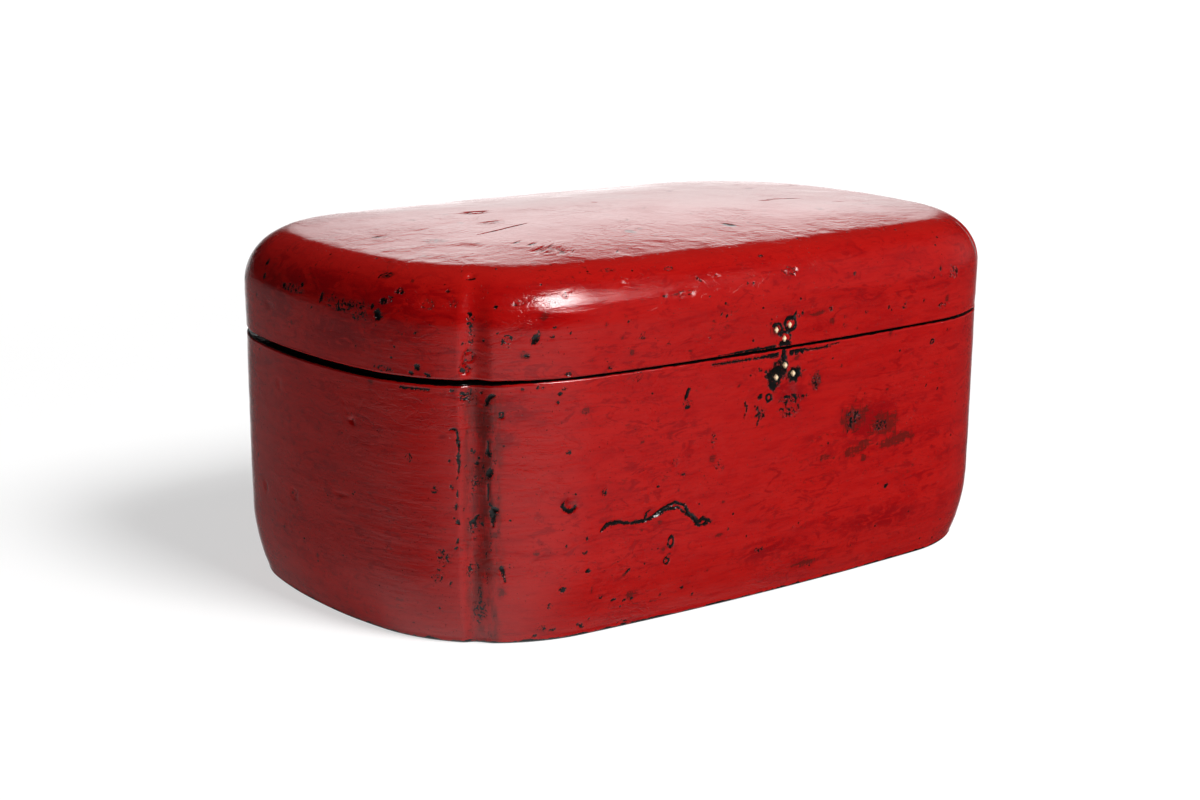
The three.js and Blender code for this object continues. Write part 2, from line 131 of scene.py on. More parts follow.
@dataclass
class Outline:
    """The plan of the box: bowed sides and ends, joined by round corners with a groove in each."""

    length: float
    depth: float
    side_radius: float = 1.555
    end_radius: float = 0.276
    corner_radius: float = 0.083
    groove_depth: float = 0.0026
    groove_shift: float = -0.0012
    groove_end_flank: float = 0.0070
    groove_side_flank: float = 0.0100
    rubbed_shift: float = 0.0045
    rubbed_reach: float = 0.0130

    def __post_init__(self) -> None:
        """Works out where the arcs of a quarter meet."""
        self.end_centre = complex(self.length / 2 - self.end_radius, 0)
        self.side_centre = complex(0, self.depth / 2 - self.side_radius)
        self.corner_centre = self._corner()
        self.end_angle = float(np.angle(self.corner_centre - self.end_centre))
        self.side_angle = float(np.angle(self.corner_centre - self.side_centre))
        self.groove_angle = (self.end_angle + self.side_angle) / 2
        end_run = self.end_radius * self.end_angle
        corner_run = self.corner_radius * (self.side_angle - self.end_angle)
        side_run = self.side_radius * (math.pi / 2 - self.side_angle)
        self.runs = (end_run, end_run + corner_run, end_run + corner_run + side_run)
        middle = end_run + self.corner_radius * (self.groove_angle - self.end_angle)
        self.groove_run = middle + self.groove_shift

    def _corner(self) -> complex:
        """Places the corner's centre, from its distances to the centres of the arcs beside it.

        Returns:
            The centre, as a complex number.
        """
        ahead = self.end_centre - self.side_centre
        span = abs(ahead)
        to_side = self.side_radius - self.corner_radius
        to_end = self.end_radius - self.corner_radius
        along = (to_side**2 - to_end**2 + span**2) / (2 * span)
        across = math.sqrt(to_side**2 - along**2)
        return self.side_centre + ahead / span * complex(along, -across)

    def quarter(self, run: np.ndarray) -> tuple[np.ndarray, ...]:
        """Places stations on the quarter from the right end to the middle of the back.

        Args:
            run: Distances along the quarter, in metres.

        Returns:
            Points and normals, as complex numbers, and each one's shares of the groove's depth
            and of the band that hands have rubbed beside it.
        """
        on_end = run < self.runs[0]
        on_side = run > self.runs[1]
        centre = np.where(on_end, self.end_centre, np.where(on_side, self.side_centre, self.corner_centre))
        radius = np.where(on_end, self.end_radius, np.where(on_side, self.side_radius, self.corner_radius))
        start = np.where(on_end, 0.0, np.where(on_side, self.side_angle, self.end_angle))
        begin = np.where(on_end, 0.0, np.where(on_side, self.runs[1], self.runs[0]))
        angle = start + (run - begin) / radius
        normal = np.exp(1j * angle)
        off = run - self.groove_run
        flank = np.where(off < 0, self.groove_end_flank, self.groove_side_flank)
        groove = (1 + np.cos(math.pi * np.clip(off / flank, -1, 1))) / 2
        rubbed = (1 + np.cos(math.pi * np.clip((off - self.rubbed_shift) / self.rubbed_reach, -1, 1))) / 2
        return centre + radius * normal, normal, groove, rubbed

    def trace(self, around: np.ndarray) -> Trace:
        """Places stations anywhere on the outline.

        Args:
            around: Distances round the outline, in metres, counter-clockwise from the right end.

        Returns:
            The stations, with the quarter mirrored into the other three.
        """
        whole = self.runs[2]
        quadrant = np.minimum((around / whole).astype(int), 3)
        rest = around - quadrant * whole
        run = np.where(quadrant % 2 == 1, whole - rest, rest)
        point, normal, groove, rubbed = self.quarter(run)
        sign_x = np.where((quadrant == 1) | (quadrant == 2), -1, 1)
        sign_y = np.where(quadrant >= 2, -1, 1)
        points = np.column_stack([point.real * sign_x, point.imag * sign_y])
        normals = np.column_stack([normal.real * sign_x, normal.imag * sign_y])
        return Trace(points, normals, groove, rubbed, around)

    def spaced(self, spacing: Callable[[np.ndarray], np.ndarray], cuts: Sequence[float] = ()) -> Trace:
        """Spreads stations round the whole outline.

        Args:
            spacing: Gives the wanted gap between stations, in metres, at points of the outline.
            cuts: Distances round the outline at which the surface steps, which get a pair of stations.

        Returns:
            The stations.
        """
        probe = 0.1 * MM
        fine = np.arange(0, 4 * self.runs[2], probe)
        crowd = np.cumsum(1 / spacing(self.trace(fine).point))
        count = int(crowd[-1] * probe)
        around = np.interp(np.arange(count) / count * crowd[-1], crowd, fine)
        for place in cuts:
            around = around[np.abs(around - place) > LEAST_GAP]
            around = np.append(around, [place - STEP_SIDE, place + STEP_SIDE])
        return self.trace(np.sort(around))

    def at_back(self, x: float) -> float:
        """Measures how far round the outline a point of the back lies.

        Args:
            x: Distance to the right of the middle, in metres.

        Returns:
            The distance, in metres.
        """
        angle = math.acos(abs(x) / self.side_radius)
        run = self.runs[1] + (angle - self.side_angle) * self.side_radius
        return run if x > 0 else 2 * self.runs[2] - run


# Skins: a profile swept round the outline


@dataclass(frozen=True)
class Row:
    """One line of a skin, carried round the outline at a steady inset and height."""

    inset: float
    z: float
    groove: float = 0.0
    scale: float = 1.0
    skin: float = 0.0
    # Share of black on the row: painted shade in the seam, and a painted contact shadow at the foot and
    # underside
    edge: float = 0.0


def sweep(trace: Trace, rows: Sequence[Row], groove_depth: float) -> np.ndarray:
    """Carries rows round stations.

    Args:
        trace: The stations.
        rows: The rows of the profile.
        groove_depth: Full depth of the corner grooves, in metres.

    Returns:
        Points as an array of stations by rows by 3.
    """
    inset = np.array([row.inset for row in rows])
    z = np.array([row.z for row in rows])
    grooved = np.array([row.groove for row in rows])
    scale = np.array([row.scale for row in rows])
    depth = inset[None, :] + groove_depth * grooved[None, :] * trace.groove[:, None]
    flat = (trace.point[:, None, :] - trace.normal[:, None, :] * depth[:, :, None]) * scale[None, :, None]
    height = np.broadcast_to(z[None, :, None], flat.shape[:2] + (1,))
    return np.concatenate([flat, height], axis=2)


def grid_normals(grid: np.ndarray) -> np.ndarray:
    """Works out the outward normals of a swept grid whose rows run up the outside.

    Args:
        grid: Points as an array of stations by rows by 3.

    Returns:
        Unit normals, in the same layout.
    """
    along = np.roll(grid, -1, axis=0) - np.roll(grid, 1, axis=0)
    up = np.gradient(grid, axis=1)
    normal = np.cross(along, up)
    return normal / np.maximum(np.linalg.norm(normal, axis=2, keepdims=True), 1e-12)


class Ends(Enum):
    """How the first and last rows of a ring close."""

    LOOP = "the last row meets the first"
    AXIS = "each ends in a point on the vertical axis"


def ring_object(name: str, grid: np.ndarray, ends: Ends) -> bpy.types.Object:
    """Makes a closed mesh from a grid that runs all the way round.

    Args:
        name: The object's name.
        grid: Points as an array of stations by rows by 3.
        ends: How the first and last rows close.

    Returns:
        The object, linked to the scene, with its faces pointing out.
    """
    stations, rows = grid.shape[:2]
    here = np.arange(stations)
    following = (here + 1) % stations
    spans = rows if ends is Ends.LOOP else rows - 1
    level = np.arange(spans)
    above = (level + 1) % rows
    quads = np.stack(
        [
            here[:, None] * rows + level[None, :],
            following[:, None] * rows + level[None, :],
            following[:, None] * rows + above[None, :],
            here[:, None] * rows + above[None, :],
        ],
        axis=2,
    ).reshape(-1, 4)
    points = grid.reshape(-1, 3).tolist()
    faces = quads.tolist()
    if ends is Ends.AXIS:
        first, last = len(points), len(points) + 1
        points += [[0.0, 0.0, float(grid[:, 0, 2].mean())], [0.0, 0.0, float(grid[:, -1, 2].mean())]]
        for a, b in zip((here * rows).tolist(), (following * rows).tolist()):
            faces.append([first, b, a])
            faces.append([last, a + rows - 1, b + rows - 1])
    return mesh_object(name, points, faces)


def mesh_object(name: str, points: Sequence, faces: Sequence, sharp: float = 40.0) -> bpy.types.Object:
    """Makes a smooth-shaded object whose faces point out.

    Args:
        name: The object's name.
        points: Its vertices, in metres.
        faces: Its faces, as lists of vertex numbers.
        sharp: Angle in degrees from which an edge is shaded sharp.

    Returns:
        The object, linked to the scene.
    """
    mesh = bpy.data.meshes.new(name)
    mesh.from_pydata(points, [], faces)
    mesh.validate()
    work = bmesh.new()
    work.from_mesh(mesh)
    if work.calc_volume(signed=True) < 0:
        bmesh.ops.reverse_faces(work, faces=work.faces)
    work.to_mesh(mesh)
    work.free()
    mesh.shade_smooth()
    mesh.set_sharp_from_angle(angle=math.radians(sharp))
    obj = bpy.data.objects.new(name, mesh)
    bpy.context.scene.collection.objects.link(obj)
    return obj


def bands(rings: int, count: int, start: int = 0) -> list[tuple]:
    """Joins rings of points, each to the next.

    Args:
        rings: Number of rings.
        count: Points in each.
        start: Number of the first ring's first point.

    Returns:
        The faces, four points each.
    """
    faces = []
    for ring in range(start, start + (rings - 1) * count, count):
        for j in range(count):
            k = (j + 1) % count
            faces.append((ring + j, ring + k, ring + count + k, ring + count + j))
    return faces


def set_field(obj: bpy.types.Object, name: str, values: np.ndarray) -> None:
    """Stores a number for each vertex, which the finishes read by name.

    Args:
        obj: The object.
        name: The numbers' name.
        values: The numbers, in the order of the vertices.
    """
    whole = np.zeros(len(obj.data.vertices), np.float32)
    whole[: len(values)] = values
    obj.data.attributes.new(name, "FLOAT", "POINT").data.foreach_set("value", whole)


# Wear


class Face(Enum):
    """A part of the box on which marks are placed, and what their two distances are there."""

    FRONT = "right of the middle, above the floor"
    LEFT_END = "behind the middle, above the floor"
    CORNER = "round the front left corner from its groove, above the floor"
    TOP = "right of the middle, behind the middle"
    ANYWHERE = "share of the way round, share of the height"


class Kind(Enum):
    """What a mark in the lacquer looks like."""

    DENT = "pressed in, the lacquer whole"
    PIT = "through to the black ground"
    RING = "a burst blister, black round a red middle"
    BLISTER = "a sunken ring with hardly any black"
    RUB = "worn thin and brown"
    STIPPLE = "a field of fine black specks"
    # A deeper red: real crimson patches on the base, painted shade on the lid's left end and front left
    # corner
    FLUSH = "polished to a deeper red"
    SCRATCH = "a shallow line, the lacquer whole"


@dataclass(frozen=True)
class Mark:
    """One mark in the lacquer. Places and sizes are in millimetres."""

    face: Face
    kind: Kind
    across: float
    up: float
    width: float
    height: float
    depth: float = 0.25
    tilt: float = 0.0


def placed(groups: dict) -> list[Mark]:
    """Spells out marks that are listed by their face and kind."""
    return [Mark(face, kind, *place) for (face, kind), places in groups.items() for place in places]


@dataclass(frozen=True)
class Crack:
    """A split in the lacquer along a bent line. Places and sizes are in millimetres."""

    face: Face
    route: tuple[tuple[float, float], ...]
    width: float
    depth: float = 0.5
    end_width: float | None = None


def arc(across: float, up: float, half_width: float, half_height: float, start: float, stop: float) -> tuple:
    """A crack's route along an oval.

    Args:
        across: Where its middle lies on the face, in millimetres, as the others are.
        up: How high its middle lies.
        half_width: Half its width.
        half_height: Half its height.
        start: Angle at which the route starts, in degrees from the right, counter-clockwise.
        stop: Angle at which it stops.

    Returns:
        The route's places.
    """
    turns = [math.radians(start + (stop - start) * i / 9) for i in range(10)]
    return tuple((across + half_width * math.cos(t), up + half_height * math.sin(t)) for t in turns)


@dataclass
class Wear:
    """Works out how age has changed a skin, from its marks, cracks and random relief, and where shade is
    painted into its colour.
    """

    seed: int
    marks: Sequence[Mark] = ()
    cracks: Sequence[Crack] = ()
    wave: float = 0.45 * MM
    ripple: float = 0.28 * MM
    scattered: int = 170
    rubbing: float = 1.0
    top_from: float = 150 * MM
    long_side_from: float = 80 * MM
    end_from: float = 140 * MM
    fields: dict = field(default_factory=dict)

    def weather(self, outline: Outline, trace: Trace, grid: np.ndarray, rows: Sequence[Row]) -> np.ndarray:
        """Lets the skin sink inwards where age has worn it.

        Args:
            outline: The plan of the box.
            trace: The stations of the grid.
            grid: The smooth skin, as stations by rows by 3.
            rows: The rows of the grid.

        Returns:
            The worn grid. Its shares for the finish are kept until mark() stores them.
        """
        shape = grid.shape[:2]
        skin = np.broadcast_to([row.skin for row in rows], shape).ravel()
        live = skin > 0
        self.points = grid.reshape(-1, 3)[live]
        self.around = np.broadcast_to(trace.around[:, None], shape).ravel()[live]
        self.groove_at = 2 * outline.runs[2] + outline.groove_run
        self.relief = [Relief(self.seed + i) for i in range(4)]
        self.ragged = self.relief[1].at(self.points, (2.0 * MM,) * 3)
        self.ragged += 0.5 * self.relief[2].at(self.points, (0.9 * MM,) * 3)
        self.sink = self._hand()
        self.worn, self.stain, self.stipple, self.flush = np.zeros((4, len(self.points)))
        for mark in [*self.marks, *self._scatter()]:
            self._press(mark)
        for crack in self.cracks:
            self._split(crack)
        normals = grid_normals(grid).reshape(-1, 3)[live]
        result = grid.reshape(-1, 3).copy()
        result[live] -= normals * (self.sink * skin[live])[:, None]
        grooved = self.rubbing * trace.rubbed[:, None] * np.array([row.groove for row in rows])[None, :]
        self.fields["groove"] = grooved.ravel()
        # The rows' edge shares are painted shade in the seam and a painted contact shadow at the foot
        self.fields["edge"] = np.broadcast_to([row.edge for row in rows], shape).ravel()
        for name in ("worn", "stain", "stipple", "flush"):
            self.fields[name] = np.zeros(len(live))
            self.fields[name][live] = getattr(self, name)
        return result.reshape(grid.shape)

    def mark(self, shell: bpy.types.Object) -> None:
        """Stores the shares for the finish in the shell made from the worn grid."""
        for name, values in self.fields.items():
            set_field(shell, name, values)

    def _hand(self) -> np.ndarray:
        """Makes the waves of the hand-shaped wood and the ripples of the brush.

        Returns:
            A depth for each point, in metres.
        """
        sizes = ((70, 70, 45), (24, 24, 15), (26, 26, 4.5), (9, 9, 2.0), (5, 5, 3.5))
        heaps = [self.relief[i % 4].at(self.points, [v * MM for v in size]) for i, size in enumerate(sizes)]
        wave, bump, ripple, fine, wrinkle = [(1 + heap) / 2 for heap in heaps]
        brush = 0.6 * ripple + 0.22 * fine + 0.18 * wrinkle
        return self.wave * (0.75 * wave + 0.25 * bump) + self.ripple * brush

    def _scatter(self) -> list[Mark]:
        """Strews small marks all over the skin.

        Returns:
            The marks.
        """
        draw = np.random.default_rng(self.seed)
        kinds = (Kind.PIT, Kind.DENT, Kind.BLISTER, Kind.RUB, Kind.STIPPLE, Kind.PIT, Kind.STIPPLE)
        marks = []
        for _ in range(self.scattered):
            kind = kinds[int(draw.integers(len(kinds)))]
            size = float(draw.uniform(0.8, 1.2) * draw.choice([1.0, 1.5, 2.4], p=[0.6, 0.3, 0.1]))
            size *= 3.5 if kind in (Kind.RUB, Kind.STIPPLE) else 1.0
            across, up, flat = (float(draw.uniform(0, 1)) for _ in range(3))
            marks.append(Mark(Face.ANYWHERE, kind, across, up, size, size * (0.5 + 0.6 * flat)))
        return marks

    def _nearest(self, face: Face, across: float, up: float) -> np.ndarray:
        """The vertex nearest to a place on a face.

        Args:
            face: The face.
            across: The first distance there, in millimetres, or the share of the way round.
            up: The second, in millimetres, or the share of the height.

        Returns:
            The vertex's place.
        """
        x, y, z = self.points.T
        rise = z - up * MM
        if face is Face.TOP:
            side, off, rise = z > self.top_from, x - across * MM, y - up * MM
        elif face is Face.FRONT:
            side, off = y < -self.long_side_from, x - across * MM
        elif face is Face.LEFT_END:
            side, off = x < -self.end_from, y - across * MM
        elif face is Face.CORNER:
            side, off = x < 0, self.around - self.groove_at - across * MM
        else:
            side, off = z > 0, self.around - across * self.around.max()
            rise = z - z.min() - up * (z.max() - z.min())
        return self.points[int(np.argmin(np.where(side, np.hypot(off, rise), np.inf)))]

    def _press(self, mark: Mark) -> None:
        """Adds one mark to the depth and to the shares for the finish.

        Args:
            mark: The mark.
        """
        centre = self._nearest(mark.face, mark.across, mark.up)
        reach = 0.9 * max(mark.width, mark.height) * MM
        near = np.flatnonzero(np.abs(self.points - centre).max(axis=1) < reach)
        across, up = self._local(self.points[near], centre)
        turn = math.radians(mark.tilt)
        a = (across * math.cos(turn) + up * math.sin(turn)) / (mark.width * MM / 2)
        b = (up * math.cos(turn) - across * math.sin(turn)) / (mark.height * MM / 2)
        radius = np.hypot(a, b) * (1 + 0.30 * self.ragged[near])
        depth = mark.depth * MM
        if mark.kind is Kind.PIT:
            self.sink[near] += depth * soft_step(1.1, 0.5, radius)
            self._bare(near, soft_step(1.35, 0.65, radius))
        elif mark.kind is Kind.RING:
            ring = soft_step(0.30, 0.62, radius) * soft_step(1.30, 0.98, radius)
            self.sink[near] += depth * ring
            self._bare(near, ring)
        elif mark.kind is Kind.BLISTER:
            ring = soft_step(0.30, 0.70, radius) * soft_step(1.25, 0.85, radius)
            self.sink[near] += depth * ring
            self._bare(near, 0.42 * ring)
        elif mark.kind is Kind.RUB:
            self.stain[near] = np.maximum(self.stain[near], soft_step(1.25, 0.3, radius))
        elif mark.kind is Kind.STIPPLE:
            self.stipple[near] = np.maximum(self.stipple[near], soft_step(1.3, 0.4, radius))
        # A deeper red, which is real crimson on the base and painted shade on the lid's left
        elif mark.kind is Kind.FLUSH:
            self.flush[near] = np.maximum(self.flush[near], soft_step(1.3, 0.4, radius))
        else:
            self.sink[near] += depth * soft_step(1.1, 0.1, radius)

    def _bare(self, near: np.ndarray, share: np.ndarray) -> None:
        """Lays the black ground bare by a share at some vertices."""
        self.worn[near] = np.maximum(self.worn[near], share)

    def _local(self, points: np.ndarray, centre: np.ndarray) -> tuple[np.ndarray, np.ndarray]:
        """Measures from a place on the box, as someone facing it sees it.

        Args:
            points: The points.
            centre: The place.

        Returns:
            Distances to the right and up the surface.
        """
        if abs(centre[1]) > self.long_side_from:
            level = np.array([-np.sign(centre[1]), 0.0, 0.0])
        else:
            level = np.array([-centre[1], centre[0], 0.0]) / max(math.hypot(centre[0], centre[1]), 1e-9)
        offset = points - centre
        across = offset @ level
        rest = offset - across[:, None] * level
        sign = np.where(np.abs(rest[:, 2]) > 1e-6, np.sign(rest[:, 2]), np.sign(rest[:, 1]))
        return across, sign * np.linalg.norm(rest, axis=1)

    def _split(self, crack: Crack) -> None:
        """Adds a crack along its route, wider and narrower as it goes.

        Args:
            crack: The crack.
        """
        stops = [self._nearest(crack.face, *place) for place in crack.route]
        last = crack.width if crack.end_width is None else crack.end_width
        widths = np.linspace(crack.width, last, len(stops)) * MM
        swell = 1 + 0.40 * self.relief[3].at(self.points, (6 * MM,) * 3) + 0.30 * self.ragged
        ratio = np.full(len(self.points), 99.0)
        for i in range(len(stops) - 1):
            run = stops[i + 1] - stops[i]
            share = np.clip((self.points - stops[i]) @ run / max(run @ run, 1e-12), 0, 1)
            gap = np.linalg.norm(self.points - stops[i] - share[:, None] * run, axis=1)
            half = (widths[i] * (1 - share) + widths[i + 1] * share) / 2
            ratio = np.minimum(ratio, gap / half)
        ratio = ratio / np.maximum(swell, 0.35)
        self.sink += crack.depth * MM * soft_step(1.2, 0.6, ratio)
        self.worn = np.maximum(self.worn, soft_step(1.6, 0.6, ratio))


# Finishes


class Nodes:
    """Adds and links shader nodes."""

    def __init__(self, tree: bpy.types.NodeTree) -> None:
        """Starts with an empty tree.

        Args:
            tree: The tree to work in.
        """
        self.tree = tree
        self.tree.nodes.clear()

    @classmethod
    def of_material(cls, name: str) -> "Nodes":
        """Starts a new material.

        Args:
            name: The material's name.

        Returns:
            Its nodes, without a shader yet.
        """
        material = bpy.data.materials.new(name)
        material.use_nodes = True
        nodes = cls(material.node_tree)
        nodes.material = material
        nodes.place = nodes.add("ShaderNodeTexCoord").outputs["Object"]
        return nodes

    def add(self, kind: str, inputs: dict | None = None, **settings: object) -> bpy.types.Node:
        """Adds a node.

        Args:
            kind: The node's type.
            inputs: Values or sockets for its inputs, by name or number.
            settings: Its other settings.

        Returns:
            The node.
        """
        node = self.tree.nodes.new(kind)
        for key, value in settings.items():
            setattr(node, key, value)
        for key, value in (inputs or {}).items():
            self.feed(node.inputs[key], value)
        return node

    def feed(self, socket: bpy.types.NodeSocket, value: object) -> None:
        """Links a socket to another, or sets it to a plain value.

        Args:
            socket: The socket to feed.
            value: A socket or a plain value.
        """
        if isinstance(value, bpy.types.NodeSocket):
            self.tree.links.new(value, socket)
        else:
            socket.default_value = value

    def math(self, operation: str, a: object, b: object = 0.0) -> bpy.types.NodeSocket:
        """One sum on two numbers."""
        return self.add("ShaderNodeMath", {0: a, 1: b}, operation=operation).outputs[0]

    def dot(self, a: object, b: Sequence[float]) -> bpy.types.NodeSocket:
        """The dot product of a vector and a fixed one."""
        return self.add("ShaderNodeVectorMath", {0: a, 1: b}, operation="DOT_PRODUCT").outputs["Value"]

    def stretched(self, size: Sequence[float]) -> bpy.types.NodeSocket:
        """The place on the object, counted in sizes along X, Y and Z, which are in millimetres."""
        scale = tuple(1 / (s * MM) for s in size)
        return self.add("ShaderNodeMapping", {"Vector": self.place, "Scale": scale}).outputs[0]

    def noise(
        self, size: Sequence[float], detail: float = 3.0, rough: float = 0.55, bend: float = 0.0
    ) -> bpy.types.NodeSocket:
        """Makes cloudy noise.

        Args:
            size: Width of a hump along X, Y and Z, in millimetres.
            detail: How many finer layers lie on it.
            rough: How strong the finer layers are.
            bend: How far its shapes are bent out of true.

        Returns:
            The noise, from 0 to 1.
        """
        values = {"Vector": self.stretched(size), "Scale": 1.0, "Detail": detail, "Roughness": rough}
        return self.add("ShaderNodeTexNoise", {**values, "Distortion": bend}).outputs[0]

    def cells(self, size: float) -> bpy.types.NodeSocket:
        """Distance to the nearest of many strewn points, counted in sizes, which are in millimetres."""
        values = {"Vector": self.stretched((size,) * 3), "Scale": 1.0}
        return self.add("ShaderNodeTexVoronoi", values).outputs["Distance"]

    def fold(self, operation: str, shares: Sequence) -> bpy.types.NodeSocket:
        """Works one kind of sum through several numbers.

        Args:
            operation: The kind of sum.
            shares: Sockets or numbers.

        Returns:
            The result.
        """
        result = shares[0]
        for share in shares[1:]:
            result = self.math(operation, result, share)
        return result

    def product(self, *shares: object) -> bpy.types.NodeSocket:
        """Multiplies shares."""
        return self.fold("MULTIPLY", shares)

    def most(self, *shares: object) -> bpy.types.NodeSocket:
        """The greatest of some shares."""
        return self.fold("MAXIMUM", shares)

    def total(self, *shares: object) -> bpy.types.NodeSocket:
        """Adds shares."""
        return self.fold("ADD", shares)

    def off_middle(self, noise: object) -> bpy.types.NodeSocket:
        """How far noise stands from its middle, up or down."""
        return self.math("SUBTRACT", noise, 0.5)

    def height(self) -> bpy.types.NodeSocket:
        """The height on the object."""
        return self.add("ShaderNodeSeparateXYZ", {0: self.place}).outputs["Z"]

    def field(self, name: str) -> bpy.types.NodeSocket:
        """A number stored at the vertices."""
        return self.add("ShaderNodeAttribute", attribute_name=name).outputs["Fac"]

    def ramp(
        self, value: object, low: float, high: float, to_low: object = 0.0, to_high: object = 1.0
    ) -> bpy.types.NodeSocket:
        """Maps a range of values to another, smoothly and without going past its ends.

        Args:
            value: The socket to map.
            low: Value that becomes to_low.
            high: Value that becomes to_high.
            to_low: Result at low.
            to_high: Result at high.

        Returns:
            The mapped socket.
        """
        values = {0: value, 1: low, 2: high, 3: to_low, 4: to_high}
        return self.add("ShaderNodeMapRange", values, interpolation_type="SMOOTHSTEP").outputs[0]

    def blend(self, share: object, first: object, second: object) -> bpy.types.NodeSocket:
        """Mixes two colours."""
        return self.add("ShaderNodeMix", {0: share, 6: first, 7: second}, data_type="RGBA").outputs[2]

    def bump(self, height: object, distance: float, under: object = None) -> bpy.types.NodeSocket:
        """Turns a height into a normal.

        Args:
            height: The height, from 0 to 1.
            distance: How far 1 stands above 0, in millimetres.
            under: The normal of the coarser bumps that it lies on, if there are any.

        Returns:
            The normal.
        """
        node = self.add("ShaderNodeBump", {"Height": height, "Distance": distance * MM, "Strength": 1.0})
        if under is not None:
            self.feed(node.inputs["Normal"], under)
        return node.outputs[0]

    def finish(self, **inputs: object) -> bpy.types.Material:
        """Closes the material with its shader.

        Args:
            inputs: The shader's inputs, with underscores for the spaces in their names.

        Returns:
            The material.
        """
        shader = self.add("ShaderNodeBsdfPrincipled", {key.replace("_", " "): v for key, v in inputs.items()})
        output = self.add("ShaderNodeOutputMaterial")
        self.tree.links.new(shader.outputs[0], output.inputs["Surface"])
        return self.material


Colour = tuple[float, float, float, float]


